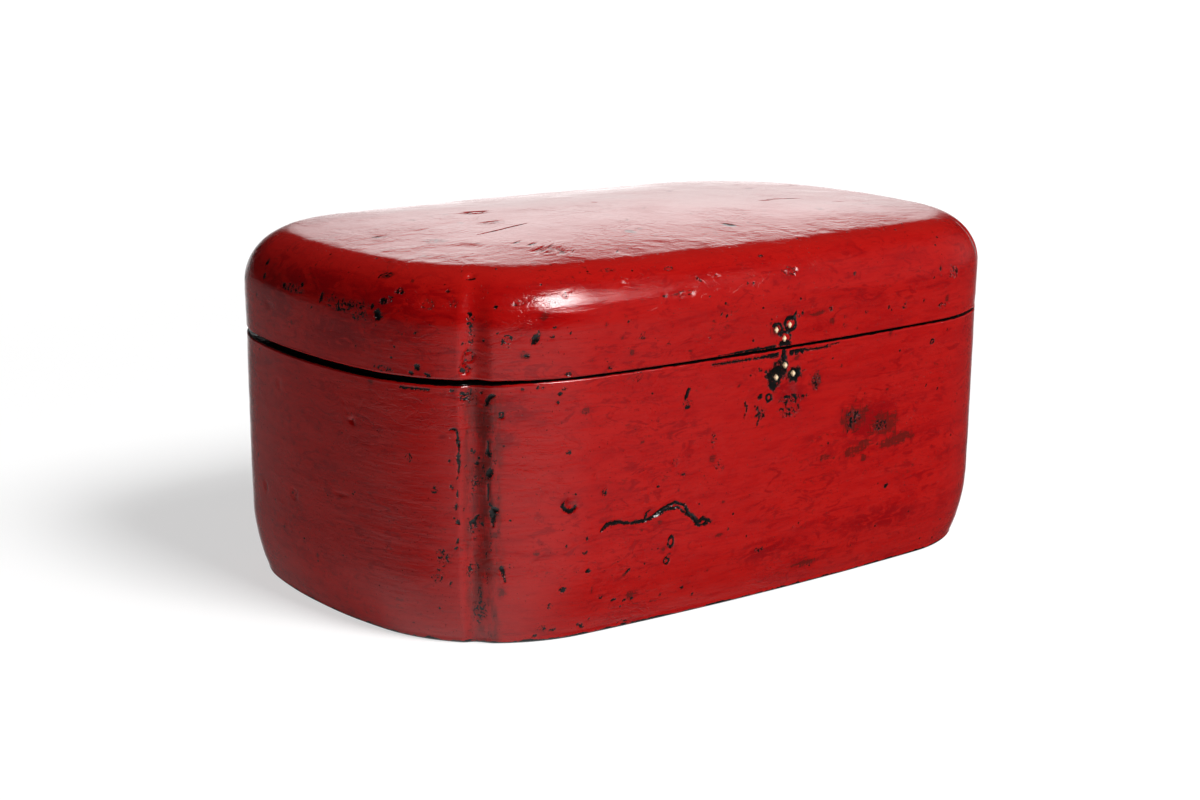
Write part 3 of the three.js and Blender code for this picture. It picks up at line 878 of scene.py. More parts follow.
@dataclass(frozen=True)
class RedLacquer:
    """Cinnabar-red lacquer over a black ground, worn through in specks, cracks and along the grooves, with
    painted light on its top and painted shade in its seam, at its foot and on the lid's left.
    """

    red: Colour = (0.272, 0.0024, 0.0022, 1)
    fresh: Colour = (0.305, 0.0044, 0.0032, 1)
    deep: Colour = (0.180, 0.0004, 0.0016, 1)
    # Painted light: a lighter red that stands in for the light falling on the top
    top_painted_light: Colour = (0.350, 0.0080, 0.0060, 1)
    brown: Colour = (0.080, 0.0045, 0.0032, 1)
    ground: Colour = (0.0022, 0.0018, 0.0018, 1)
    gloss: float = 0.11
    refraction: float = 1.36
    shoulder_low: float = 160 * MM
    shoulder_high: float = 171 * MM
    brow_low: float = 168 * MM
    brow_high: float = 173.6 * MM
    brow_edge: float = 2 * MM

    def material(self) -> bpy.types.Material:
        """Builds the material.

        Returns:
            The material.
        """
        n = Nodes.of_material("red_lacquer")
        fine = n.noise((1.1,) * 3, 3.0, 0.6)
        finer = n.noise((0.45,) * 3, 2.0)
        groove = n.ramp(n.field("groove"), 0.12, 0.75)
        hue = self._brushed(n)
        hue = n.blend(self._browned(n, fine), hue, self.brown)
        black = self._bare(n, fine, finer, groove)
        colour = n.blend(black, hue, self.ground)
        smear = n.noise((30, 30, 6), 4.0)
        rough = n.ramp(smear, 0.3, 0.75, self.gloss, self.gloss + 0.08)
        return n.finish(
            Base_Color=colour,
            Roughness=rough,
            IOR=self.refraction,
            Normal=self._surface(n, black),
        )

    def _brushed(self, n: Nodes) -> bpy.types.NodeSocket:
        """Makes the red itself, streaked by the brush and mottled with crimson, with its top painted lighter
        as painted light.

        Args:
            n: The material's nodes.

        Returns:
            The colour.
        """
        streaks = n.noise((40, 40, 9), 6.0, 0.68, 0.8)
        lines = n.noise((12, 12, 1.5), 4.0, 0.6)
        strokes = n.noise((17, 17, 7), 5.0, 0.68, 2.0)
        clouds = n.noise((60, 60, 34), 3.0)
        hue = n.blend(n.ramp(streaks, 0.42, 0.58, 0.7, 0.0), self.red, self.fresh)
        hue = n.blend(n.ramp(lines, 0.50, 0.70, 0.0, 0.42), hue, self.deep)
        mottled = n.product(n.ramp(strokes, 0.52, 0.61), n.ramp(clouds, 0.38, 0.56), 0.75)
        hue = n.blend(mottled, hue, self.deep)
        # Deeper red from the flush marks and the stains: real crimson on the base, painted shade on the lid's
        # left
        flushed_and_shaded = n.most(n.field("flush"), n.product(n.field("stain"), 0.8))
        hue = n.blend(n.product(flushed_and_shaded, n.ramp(strokes, 0.36, 0.52)), hue, self.deep)
        hue = n.blend(n.ramp(streaks, 0.54, 0.76, 0.0, 0.6), hue, self.deep)
        # Painted light: from the shoulder up the red is blended towards a lighter red, standing in for light
        # on the top
        return n.blend(n.ramp(n.height(), self.shoulder_low, self.shoulder_high, 0.0, 0.85), hue, self.top_painted_light)

    def _browned(self, n: Nodes, fine: object) -> bpy.types.NodeSocket:
        """How far the red is rubbed thin and brown.

        Args:
            n: The material's nodes.
            fine: Noise of about a millimetre.

        Returns:
            The share of brown.
        """
        level = n.noise((6, 6, 1.1), 3.0)
        upright = n.noise((1.1, 1.1, 6), 3.0)
        stained = n.total(n.most(level, upright), n.product(n.field("stain"), 0.40))
        stain = n.ramp(stained, 0.80, 0.91)
        grain = n.noise((5, 5, 16), 5.0, 0.7)
        rubbed = n.product(n.ramp(n.field("groove"), 0.0, 0.5), n.ramp(grain, 0.40, 0.60, 0.12, 0.74))
        where = n.ramp(n.noise((38, 38, 22), 3.0), 0.50, 0.66)
        flecks = n.ramp(n.noise((3.4, 3.4, 1.8), 5.0, 0.7, 0.8), 0.585, 0.64)
        rims = n.product(n.ramp(n.field("worn"), 0.10, 0.40), n.ramp(fine, 0.40, 0.60))
        flecked = n.product(where, flecks, 0.75)
        return n.most(n.product(stain, 0.85), rubbed, flecked, n.product(rims, 0.7))

    def _bare(self, n: Nodes, fine: object, finer: object, groove: object) -> bpy.types.NodeSocket:
        """How far the black ground shows, with painted shade in the seam and a painted contact shadow along
        the foot.

        Args:
            n: The material's nodes.
            fine: Noise of about a millimetre.
            finer: Noise of half a millimetre.
            groove: The groove's share.

        Returns:
            The share of black.
        """
        ragged = n.total(fine, n.product(n.off_middle(finer), 0.9))
        ragged = n.product(n.off_middle(ragged), 1.9)
        marks = n.ramp(n.total(n.field("worn"), ragged), 0.46, 0.56)
        clusters = n.ramp(n.noise((34, 34, 20), 3.0), 0.56, 0.70, 0.0, 0.45)
        eaten = n.most(n.field("stipple"), clusters)
        limit = n.ramp(eaten, 0, 1, 0.80, 0.52)
        over = n.math("SUBTRACT", n.noise((1.7,) * 3, 3.0, 0.65, 0.5), limit)
        specks = n.ramp(over, 0.0, 0.02)
        bends = n.math("ABSOLUTE", n.off_middle(n.noise((3.2,) * 3, 2.0, 0.5, 1.5)))
        crackle = n.product(n.ramp(bends, 0.022, 0.008), n.ramp(n.field("stipple"), 0.45, 0.75))
        crackle = n.product(crackle, n.ramp(fine, 0.42, 0.50))
        stipple = n.most(specks, crackle)
        uneven = n.product(n.off_middle(fine), 0.12)
        strewn = n.ramp(n.total(n.cells(11), uneven), 0.062, 0.045)
        patch = n.ramp(n.noise((2.5, 2.5, 7), 5.0, 0.7), 0.58, 0.62)
        worn_groove = n.product(groove, patch, n.ramp(n.total(fine, ragged), 0.50, 0.62))
        # Painted shade in the seam and a painted contact shadow at the foot, broken into ragged dashes
        dashes = n.product(n.off_middle(n.noise((5, 5, 2), 4.0)), 2.2)
        edge = n.ramp(n.total(n.field("edge"), dashes), 0.72, 0.88)
        return n.most(marks, stipple, strewn, worn_groove, edge)

    def _surface(self, n: Nodes, black: object) -> bpy.types.NodeSocket:
        """Makes the brush marks and fine orange peel of the surface.

        Args:
            n: The material's nodes.
            black: The share of bare ground, which lies a little lower.

        Returns:
            The normal.
        """
        calm = n.ramp(n.noise((34, 34, 24), 3.0), 0.44, 0.60, 0.25, 1.0)
        folds = n.math("ABSOLUTE", n.off_middle(n.noise((15, 15, 7), 4.0, 0.55, 0.6)))
        wrinkled = n.bump(n.product(n.ramp(folds, 0.0, 0.05), calm), 0.05)
        brushed = n.bump(n.noise((15, 15, 1.7), 5.0, 0.62), 0.16, wrinkled)
        peel = n.bump(n.product(n.noise((2.2,) * 3, 3.0), calm), 0.07, brushed)
        z = n.height()
        fading = n.ramp(z, self.brow_high, self.brow_high - self.brow_edge)
        shoulder = n.product(n.ramp(z, self.shoulder_low, self.brow_low), fading)
        shoulder = n.product(shoulder, n.ramp(calm, 0.25, 1.0, 0.4, 1.0))
        crowned = n.product(n.noise((18, 7, 7), 4.0, 0.6, 1.0), shoulder)
        ridges = n.bump(crowned, 0.32, peel)
        return n.bump(n.math("SUBTRACT", 1.0, black), 0.05, ridges)


@dataclass(frozen=True)
class DarkLacquer:
    """The brown-black lacquer of the inside, with brush marks and a little dust."""

    dark: Colour = (0.012, 0.006, 0.005, 1)
    bloom: Colour = (0.040, 0.018, 0.013, 1)
    dusty: Colour = (0.09, 0.05, 0.035, 1)
    gloss: float = 0.32

    def material(self) -> bpy.types.Material:
        """Builds the material.

        Returns:
            The material.
        """
        n = Nodes.of_material("dark_lacquer")
        streaks = n.noise((45, 45, 5), 5.0)
        dust = n.noise((8,) * 3, 5.0, 0.7)
        hue = n.blend(n.ramp(streaks, 0.45, 0.75), self.dark, self.bloom)
        hue = n.blend(n.ramp(dust, 0.58, 0.75, 0.0, 0.5), hue, self.dusty)
        rough = n.ramp(dust, 0.35, 0.7, self.gloss, self.gloss + 0.2)
        brushed = n.bump(n.noise((18, 18, 1.5), 4.0), 0.08)
        peel = n.bump(n.noise((2.0,) * 3, 2.0), 0.03, brushed)
        return n.finish(Base_Color=hue, Roughness=rough, IOR=1.45, Normal=peel)


@dataclass(frozen=True)
class AgedBrass:
    """Dull yellow brass blotched with brown tarnish, with fine scratches."""

    bright: Colour = (0.55, 0.36, 0.15, 1)
    tarnish: Colour = (0.11, 0.065, 0.030, 1)

    def material(self) -> bpy.types.Material:
        """Builds the material.

        Returns:
            The material.
        """
        n = Nodes.of_material("aged_brass")
        blotch = n.noise((5,) * 3, 5.0, 0.65)
        scratch = n.noise((0.25, 6, 3), 2.0)
        hue = n.blend(n.ramp(blotch, 0.42, 0.66), self.bright, self.tarnish)
        rough = n.ramp(blotch, 0.35, 0.7, 0.30, 0.55)
        hammered = n.bump(n.noise((2.4,) * 3, 2.0), 0.10)
        surface = n.bump(scratch, 0.02, hammered)
        return n.finish(Base_Color=hue, Metallic=1.0, Roughness=rough, Normal=surface)


@dataclass(frozen=True)
class PegWood:
    """Pale end grain with darker pores and painted shade round its rim."""

    pale: Colour = (0.74, 0.56, 0.36, 1)
    dark: Colour = (0.42, 0.23, 0.11, 1)

    def material(self) -> bpy.types.Material:
        """Builds the material.

        Returns:
            The material.
        """
        n = Nodes.of_material("peg_wood")
        pores = n.ramp(n.cells(0.42), 0.30, 0.12)
        rings = n.noise((0.5, 2.0, 1.6), 3.0)
        # The rim share is painted shade round the peg's edge
        share = n.most(n.product(pores, 0.6), n.ramp(rings, 0.5, 0.8, 0.0, 0.7), n.field("rim"))
        hue = n.blend(share, self.pale, self.dark)
        surface = n.bump(n.math("SUBTRACT", 1.0, pores), 0.05)
        return n.finish(Base_Color=hue, Roughness=0.62, Normal=surface)


@dataclass(frozen=True)
class StudioFloor:
    """White paper, lit and glowing so that it shows as plain white, its glow dimmed out to the left as
    painted shade.
    """

    tone: Colour = (0.42, 0.42, 0.42, 1)
    cloud: Colour = (0.44, 0.44, 0.44, 1)
    glow: float = 0.60
    far_glow: float = 0.90
    left_shade_share: float = 0.45

    def material(self) -> bpy.types.Material:
        """Builds the material.

        Returns:
            The material.
        """
        n = Nodes.of_material("studio_floor")
        hue = n.blend(n.noise((400,) * 3, 2.0), self.tone, self.cloud)
        away = n.add("ShaderNodeVectorMath", {0: n.place}, operation="LENGTH").outputs["Value"]
        glow = n.ramp(away, 0.35, 2.6, self.glow, self.far_glow)
        # Painted shade: the floor's glow is dimmed out to the left
        left = n.ramp(n.dot(n.place, (-0.973, 0.380, 0)), 0.36, 0.60, 1.0, self.left_shade_share)
        return n.finish(
            Base_Color=hue,
            Roughness=0.9,
            Specular_IOR_Level=0.0,
            Emission_Color=(1, 1, 1, 1),
            Emission_Strength=n.product(glow, left),
        )


@dataclass
class Finishes:
    """Every material of the box, built once."""

    red: bpy.types.Material = field(default_factory=lambda: RedLacquer().material())
    dark: bpy.types.Material = field(default_factory=lambda: DarkLacquer().material())
    brass: bpy.types.Material = field(default_factory=lambda: AgedBrass().material())
    peg: bpy.types.Material = field(default_factory=lambda: PegWood().material())


def dress(obj: bpy.types.Object, material: bpy.types.Material) -> bpy.types.Object:
    """Gives an object one material.

    Args:
        obj: The object.
        material: Its material.

    Returns:
        The same object.
    """
    obj.data.materials.clear()
    obj.data.materials.append(material)
    return obj


def hand_over(obj: bpy.types.Object, body: str, nodes: Sequence[str]) -> None:
    """Parents a finished piece to its body's empty and hides the CAD nodes that it stands for.

    Args:
        obj: The piece.
        body: The body that it moves with.
        nodes: The CAD nodes that it stands for.
    """
    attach(obj, body)
    if nodes:
        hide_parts(*nodes)
    log.info("%s: %d vertices, rides on %s", obj.name, len(obj.data.vertices), body)


# The two carcasses


# How much black shows on the rows of a round rim, from the outside in: painted shade in the seam between lid
# and base
RIM_BLACK_AND_SEAM_SHADE = (0.0, 0.1, 0.45, 0.9, 1.2)

CORNERS = ("back_right", "back_left", "front_left", "front_right")
WALLS = ("front_wall", "back_wall", "left_end", "right_end")


def carcass_nodes(name: str) -> list[str]:
    """The names of the walls and posts of the base or of the lid."""
    return [f"{name}_{wall}" for wall in WALLS] + [f"{name}_corner_post_{corner}" for corner in CORNERS]


@dataclass(frozen=True)
class Crowd:
    """A part of the outline on which stations lie closer. All four are in millimetres."""

    from_x: float
    to_x: float
    below_y: float
    gap: float


def crowded(gap: float, crowds: Sequence[Crowd]) -> Callable[[np.ndarray], np.ndarray]:
    """Works out how far apart stations lie.

    Args:
        gap: The gap where no crowd is, in millimetres.
        crowds: The parts with closer stations, of which a later one counts first.

    Returns:
        What gives the gaps, in metres, at points of the outline.
    """

    def spacing(point: np.ndarray) -> np.ndarray:
        """Gives the gaps at points of the outline.

        Args:
            point: The points, in metres.

        Returns:
            The gaps, in metres.
        """
        x, y = point.T / MM
        gaps = np.full(len(x), gap)
        for crowd in crowds:
            inside = (x > crowd.from_x) & (x < crowd.to_x) & (y < crowd.below_y)
            gaps = np.where(inside, crowd.gap, gaps)
        return gaps * MM

    return spacing


@dataclass
class HingeSeats:
    """The flat seats that the two hinges are let into, which cross the seam at the back."""

    spread: float = 60 * MM
    half_width: float = 14.4 * MM
    half_height: float = 15.8 * MM
    floor: float = 119.11 * MM

    def cuts(self, outline: Outline) -> list[float]:
        """Distances round the outline of the seats' four upright edges."""
        edges = [side * self.spread + way * self.half_width for side in (-1, 1) for way in (-1, 1)]
        return [outline.at_back(x) for x in edges]

    def sink(self, grid: np.ndarray, seam: float) -> np.ndarray:
        """Cuts the seats into the back of a skin.

        Args:
            grid: The skin.
            seam: Height of the seam.

        Returns:
            The skin with its seats.
        """
        result = grid.copy()
        x, y, z = grid[..., 0], grid[..., 1], grid[..., 2]
        inside = (np.abs(np.abs(x) - self.spread) < self.half_width) & (np.abs(z - seam) < self.half_height)
        deep = inside & (y > self.floor)
        result[..., 1] = np.where(deep, self.floor, y)
        return result


def arc_rows(start: tuple, middle: tuple, stop: tuple, steps: int) -> list[tuple[float, float]]:
    """Points of a round edge that starts and stops square to its two faces.

    Args:
        start: Inset and height at which the round starts.
        middle: Inset and height of the sharp corner that it softens.
        stop: Inset and height at which it ends.
        steps: Number of points.

    Returns:
        Insets and heights, both ends left out.
    """
    shares = [math.sin(math.pi / 2 * (i / (steps + 1))) for i in range(1, steps + 1)]
    downs = [1 - math.cos(math.pi / 2 * (i / (steps + 1))) for i in range(1, steps + 1)]
    first = np.subtract(middle, start)
    second = np.subtract(stop, middle)
    return [tuple(np.add(start, first * s + second * d)) for s, d in zip(shares, downs)]


def heights(low: float, high: float, fine: Sequence[tuple], cuts: Sequence[float]) -> list[float]:
    """Heights of the rows of a wall.

    Args:
        low: The lowest row.
        high: The highest row.
        fine: Bands, as lowest and highest height, in which rows lie closer.
        cuts: Heights at which the surface steps, which get a pair of rows.

    Returns:
        The heights, from low to high.
    """
    rows, z = [low], low
    while z < high:
        close = any(start <= z <= stop for start, stop in fine)
        z += FINE_ROW_GAP if close else ROW_GAP
        rows.append(z)
    rows = [z for z in rows if z < high - LEAST_GAP] + [high]
    for cut in cuts:
        rows = [z for z in rows if abs(z - cut) > LEAST_GAP] + [cut - STEP_SIDE, cut + STEP_SIDE]
    return sorted(rows)


@dataclass
class Base:
    """The lower half: a red shell of four walls and posts, lined in dark lacquer, with a lip and a floor."""

    outline: Outline
    seats: HingeSeats
    finishes: Finishes
    height: float
    wall: float = 11 * MM
    lean: float = 1.4 * MM
    turn_start: float = 36 * MM
    turn_inset: float = 7 * MM
    foot_round: float = 1.8 * MM
    rim_round: float = 1.5 * MM
    board: float = 9 * MM
    glue: float = 0.2 * MM
    rebate: float = 3.4 * MM
    lining: float = 1.1 * MM
    lip_thickness: float = 3.6 * MM
    lip_rise: float = 7 * MM
    lip_drop: float = 20 * MM
    lip_lead: float = 1.4 * MM
    sag: float = 1.75 * MM
    sag_from: float = 0.126
    sag_to: float = 0.176
    sag_height: float = 16 * MM
    foot_groove: float = 0.60
    filled_height: float = 60 * MM

    FINE_BANDS = ((26 * MM, 66 * MM), (94 * MM, 118 * MM))
    CROWDS = (
        Crowd(-200, 200, 0, 1.0),
        Crowd(-200, -42, 0, 0.75),
        Crowd(-106, -42, 0, 0.55),
        Crowd(-12, 12, 0, 0.5),
    )
    # Each mark: across, up, width and height, then depth and tilt where they aren't the usual ones
    MARKS = {
        (Face.CORNER, Kind.PIT): (
            (-9, 119, 2.2, 2.0), (-3.6, 117.5, 4.0, 1.6, 0.3, -30), (-2.4, 115, 3.0, 1.0, 0.3, -20),
            (-0.9, 118, 1.2, 3.4, 0.3), (4, 118.6, 2.4, 1.2, 0.2), (9, 117.4, 7.4, 1.6, 0.2, -8),
            (6.3, 114.8, 1.3, 5.5, 0.2, -10), (22, 119, 2.2, 1.4), (38, 112, 1.6, 1.2),
            (39, 116, 1.4, 1.4), (-10.5, 86.8, 1.0, 1.6), (-10, 75.4, 1.2, 1.8), (-9, 73.6, 1.6, 1.0),
            (-6.7, 78.6, 1.0, 1.4), (-7.2, 71, 0.9, 3.4), (-7.3, 65.6, 0.9, 3.0),
            (-6.9, 58.6, 1.7, 2.6), (-8.6, 60.6, 1.8, 1.1), (-6.6, 50, 1.0, 2.8, 0.25, -15),
            (-7.4, 46.6, 2.0, 1.4, 0.25, 30), (0.6, 90, 2.6, 1.0), (1.2, 84.6, 1.3, 2.0),
            (-0.4, 58.5, 2.6, 2.0, 0.2, 40), (1.2, 61, 1.2, 3.2, 0.2, -20), (-11.4, 42, 1.2, 1.0),
            (-13.6, 38, 1.0, 1.0), (-10.6, 30, 1.0, 2.4, 0.2, -15), (6.5, 89.6, 2.4, 3.4, 0.3, 20),
            (7.2, 82, 2.4, 4.6, 0.3, -12), (9, 63.4, 3.4, 5.4, 0.4, -10), (12.4, 37, 2.2, 2.8, 0.3),
            (43, 46, 1.2, 1.2), (53, 48, 1.2, 1.2), (54, 33, 2.4, 2.2, 0.3),
            (41, 25, 4.0, 3.0, 0.35, -20), (69, 16, 2.6, 2.0), (62, 18, 1.6, 1.4), (76, 14, 1.8, 1.4),
            (80, 14, 1.6, 1.2), (76, 29, 3.4, 1.4, 0.2, 35), (38, 6, 9, 1.2, 0.2, 6),
            (53, 6, 4.4, 1.6, 0.3, -35), (29, 3, 2.4, 1.2),
        ),
        (Face.CORNER, Kind.STIPPLE): (
            (-3, 116.5, 7, 8), (0, 90, 5.5, 2.0), (9.8, 86.4, 4.4, 3.4), (1.0, 76, 4, 9),
            (0.5, 57.5, 8, 11), (-1.6, 66, 1.2, 6), (-0.3, 36.6, 8.4, 9.6), (2, 17, 7, 14),
            (-14, 42, 8, 11), (-17, 33, 6, 9), (17, 39, 5, 3), (32, 7, 7, 5), (78, 3, 12, 3),
        ),
        (Face.CORNER, Kind.RING): (
            (12.6, 108, 2.4, 2.8), (30, 119, 4, 1.6), (62, 69, 2.6, 3.0),
        ),
        (Face.CORNER, Kind.RUB): (
            (52, 107, 7, 5), (5, 104, 9, 26, 0.1), (4, 82, 8, 22, 0.1), (7, 63, 7, 16, 0.1),
            (9.8, 53, 4, 5), (13, 25, 5, 7), (27, 47, 1.8, 1.8), (57, 23, 1.8, 4),
            (75, 28, 7, 2.6, 0.2, 30), (83, 47, 2.0, 2.0),
        ),
        (Face.CORNER, Kind.FLUSH): (
            (18, 110, 24, 14), (14, 96, 16, 10), (-14, 97, 7, 4), (0, 67, 4, 14), (44, 65.6, 12, 9),
        ),
        (Face.CORNER, Kind.DENT): (
            (44, 65, 8, 7, 0.9),
        ),
        (Face.CORNER, Kind.BLISTER): (
            (57, 77, 2.6, 2.2),
        ),
        (Face.CORNER, Kind.SCRATCH): (
            (31, 71, 1.0, 9, 0.25, -22),
        ),
        (Face.FRONT, Kind.PIT): (
            (-58, 108, 1.8, 5, 0.2, -25), (-57, 14, 2.4, 1.6), (-49, 9, 1.4, 1.2), (-69, 13, 1.2, 1.2),
            (0.2, 118.4, 4.2, 7, 0.4), (0.6, 113.6, 5.0, 5.6, 0.4), (-3.6, 110.8, 14.2, 9.6, 0.4, 28),
            (-6.0, 105.4, 4.6, 7.0, 0.4, 8), (7.2, 109.0, 10.4, 7.8, 0.4, 10), (-10.6, 112, 1.8, 1.8),
            (-14.4, 100.4, 3.2, 2.8), (2.4, 98.4, 3.4, 1.8, 0.2, -6), (7.6, 97.8, 4.6, 2.0, 0.2, -30),
            (13.4, 97.2, 2.4, 1.2, 0.2), (75, 43, 3.6, 2.2, 0.3, 25),
        ),
        (Face.FRONT, Kind.STIPPLE): (
            (-58, 103, 8, 6), (-42, 84, 4, 9), (-38, 72, 8, 7), (-11, 26, 10, 4), (-14, 114, 5, 4),
            (6, 97, 22, 6), (5, 91, 20, 10), (-13, 93, 9, 9), (22, 104, 8, 12), (48, 81, 14, 12),
            (68, 75, 16, 8),
        ),
        (Face.FRONT, Kind.BLISTER): (
            (-64, 77, 3.6, 3.2),
        ),
        (Face.FRONT, Kind.RUB): (
            (-62, 63, 1.8, 2.6), (-70, 36, 4.0, 3.0), (-43, 21, 3.0, 2.0), (-37, 37, 7, 3),
            (9, 116.5, 6, 3), (-27, 108, 4, 1.8, 0.2, 45), (22, 104, 11, 13), (50, 90, 2.6, 2.4),
            (73, 93, 6, 2.4, 0.2, 20), (49, 81, 30, 20), (71, 75, 34, 18), (54, 66, 28, 9, 0.2, 12),
            (80, 66, 34, 10, 0.2, 8), (92, 66, 8, 6), (30, 65, 12, 5), (118, 11, 3, 2), (22, 12, 26, 6),
        ),
        (Face.FRONT, Kind.RING): (
            (-66, 39, 3.6, 5.0, 0.3, -20), (-68, 30, 3.6, 3.8, 0.3), (-8.8, 99.6, 3.8, 4.4, 0.4, 20),
            (105, 112, 2.6, 2.8),
        ),
        (Face.FRONT, Kind.DENT): (
            (4, 103, 13, 9, 0.7, -20),
        ),
        (Face.FRONT, Kind.FLUSH): (
            (4, 101, 26, 14, 0.2, -20), (72, 27, 66, 13), (60, 76, 46, 26), (-8, 24, 40, 12),
        ),
        (Face.LEFT_END, Kind.DENT): (
            (-39, 98, 5, 4.2, 0.7), (43, 50, 4, 9, 0.7, 20), (-30, 62, 16, 3.0, 0.35),
            (22, 104, 4, 9, 0.4, 15),
        ),
        (Face.LEFT_END, Kind.SCRATCH): (
            (-34, 104, 1.0, 15, 0.22, 25), (-45, 105, 1.0, 15, 0.22, -32),
        ),
        (Face.LEFT_END, Kind.BLISTER): (
            (11, 53, 4.5, 5.5, 0.6),
        ),
    }
    CRACKS = (
        Crack(Face.CORNER, ((60.5, 50.4), (64, 53), (68, 53.4)), 1.2, 0.3, 2.0),
        Crack(Face.CORNER, ((70, 53), (77, 51.4), (85, 51.4)), 2.2, 0.4, 1.4),
        Crack(Face.FRONT, ((-80, 51.6), (-74, 53), (-68, 54.6), (-62, 55), (-58, 51.4), (-55, 49.4)), 1.4),
        Crack(Face.FRONT, ((-76, 53.4), (-70, 55.8), (-64, 57.6), (-59, 55.4), (-56, 51), (-53, 49)), 1.5),
        Crack(Face.FRONT, ((-54, 49.4), (-50.5, 45.4), (-47, 47.2), (-43, 45.2)), 2.0, 0.4, 1.4),
        Crack(Face.FRONT, ((-52, 45), (-48.5, 44), (-45, 44.6)), 0.8, 0.3, 1.6),
        Crack(Face.CORNER, ((84.6, 52), (86, 55.4), (88, 56)), 1.0, 0.3, 0.5),
        Crack(Face.CORNER, ((-9.6, 100.4), (-7.8, 101.2), (-6.9, 99.6), (-6.1, 93.5)), 0.8, 0.4, 1.3),
        Crack(Face.CORNER, ((-6.0, 93.5), (-6.0, 90)), 0.9, 0.4, 0.6),
        Crack(Face.CORNER, ((-6.3, 89.4), (-6.1, 86), (-5.9, 82)), 2.2, 0.4, 0.8),
        Crack(Face.CORNER, ((6.4, 95.6), (6.3, 92)), 0.8, 0.4, 1.2),
        Crack(Face.CORNER, ((6.4, 76.4), (6.8, 70.4)), 0.9, 0.4, 0.6),
        Crack(Face.CORNER, ((7.0, 69), (8.4, 65.6), (10.2, 64.6)), 1.1, 0.4, 2.0),
        Crack(Face.CORNER, ((8.6, 61), (8.9, 57)), 2.0, 0.4, 0.8),
        Crack(Face.CORNER, ((12.4, 38), (14.4, 31)), 1.6, 0.4, 0.7),
        Crack(Face.CORNER, arc(44, 65, 3.4, 3.0, 160, 340), 1.0, 0.3, 1.6),
        Crack(Face.FRONT, ((-44, 119.6), (-30, 119.5), (-14, 119.3), (-4, 119.0)), 1.0, 0.4, 2.2),
        Crack(Face.FRONT, ((5, 119.4), (14, 119.5), (24, 119.6)), 2.0, 0.4, 1.4),
        Crack(Face.FRONT, ((25, 119.7), (37, 120)), 1.3, 0.4, 0.6),
        Crack(Face.FRONT, ((-23, 99), (-22.4, 96), (-23, 93)), 0.9, 0.3, 0.5),
        Crack(Face.FRONT, ((-15, 96), (-14, 92), (-15.6, 88)), 0.6, 0.3, 0.9),
        Crack(Face.FRONT, ((-17, 97), (-14, 92)), 0.6, 0.3),
        Crack(Face.CORNER, ((-34, 119.2), (-26, 118.9), (-20, 119.2)), 0.6, 0.3, 0.9),
    )

    def inset(self, z: float) -> float:
        """Works out how far the outside stands in from the outline.

        Args:
            z: The height, in metres.

        Returns:
            The inset, in metres.
        """
        turn_radius = (self.turn_start**2 + self.turn_inset**2) / (2 * self.turn_inset)
        below = max(0.0, self.turn_start - z)
        turned = turn_radius - math.sqrt(turn_radius**2 - below**2)
        return turned + self.lean * (1 - z / self.height) ** 2

    def grooved(self, z: float) -> float:
        """How far the corner grooves are still open at a height, as lacquer has filled them at the foot."""
        risen = float(soft_step(0, self.filled_height, np.array(z)))
        return self.foot_groove + (1 - self.foot_groove) * risen

    def shell_rows(self) -> list[Row]:
        """Draws the profile from the rebate down, up the outside, over the rim and down the inside.

        Returns:
            The rows, in that order.
        """
        top, ledge = self.height, self.board + self.glue
        rebate = self.inset(self.board) + self.wall - self.rebate
        foot = self.inset(self.foot_round)
        rows = [Row(rebate, ledge), Row(rebate, ledge / 2), Row(rebate, 0)]
        low = self.grooved(0)
        # Painted contact shadow: the underside is black
        for s in (0.3, 0.6, 0.9, 1.0):
            rows.append(Row(rebate * (1 - s) + (foot + self.foot_round) * s, 0, groove=s * low, edge=1.3))
        foot_arc = arc_rows((foot + self.foot_round, 0), (foot, 0), (foot, self.foot_round), 4)
        # Painted contact shadow: the foot's round is black, fading upwards
        for (inset, z), edge in zip(foot_arc, (1.2, 1.1, 0.95, 0.8)):
            rows.append(Row(inset, z, groove=low, skin=0.6, edge=edge))
        seat = top - self.seats.half_height
        for z in heights(self.foot_round, top - self.rim_round, self.FINE_BANDS, [seat]):
            # Painted contact shadow: the lowest 5 mm of the wall darken towards the floor
            near_foot = max(0.0, 1 - z / (5 * MM)) * 0.62
            rows.append(Row(self.inset(z), z, groove=self.grooved(z), skin=1, edge=near_foot))
        rim_arc = arc_rows((0, top - self.rim_round), (0, top), (self.rim_round, top), 5)
        # Painted shade in the seam: the rim's round turns black towards the lid
        for (inset, z), edge in zip(rim_arc, RIM_BLACK_AND_SEAM_SHADE):
            rows.append(Row(inset, z, groove=1, skin=0.7, edge=edge))
        # Painted shade in the seam: the top of the rim is black
        for share in (0.0, 0.15, 0.45, 0.75, 1.0):
            inset = self.rim_round + (self.wall - self.rim_round) * share
            rows.append(Row(inset, top, groove=1 - share, edge=1.3))
        below_lip = top - self.lip_drop
        hidden = self.wall - self.lining - self.glue / 2
        rows += [Row(self.wall, below_lip + self.glue / 2), Row(hidden, below_lip - self.glue / 2)]
        for z in np.linspace(below_lip, ledge, 24)[1:]:
            rows.append(Row(self._inside(float(z)) - self.wall + hidden, float(z)))
        return rows

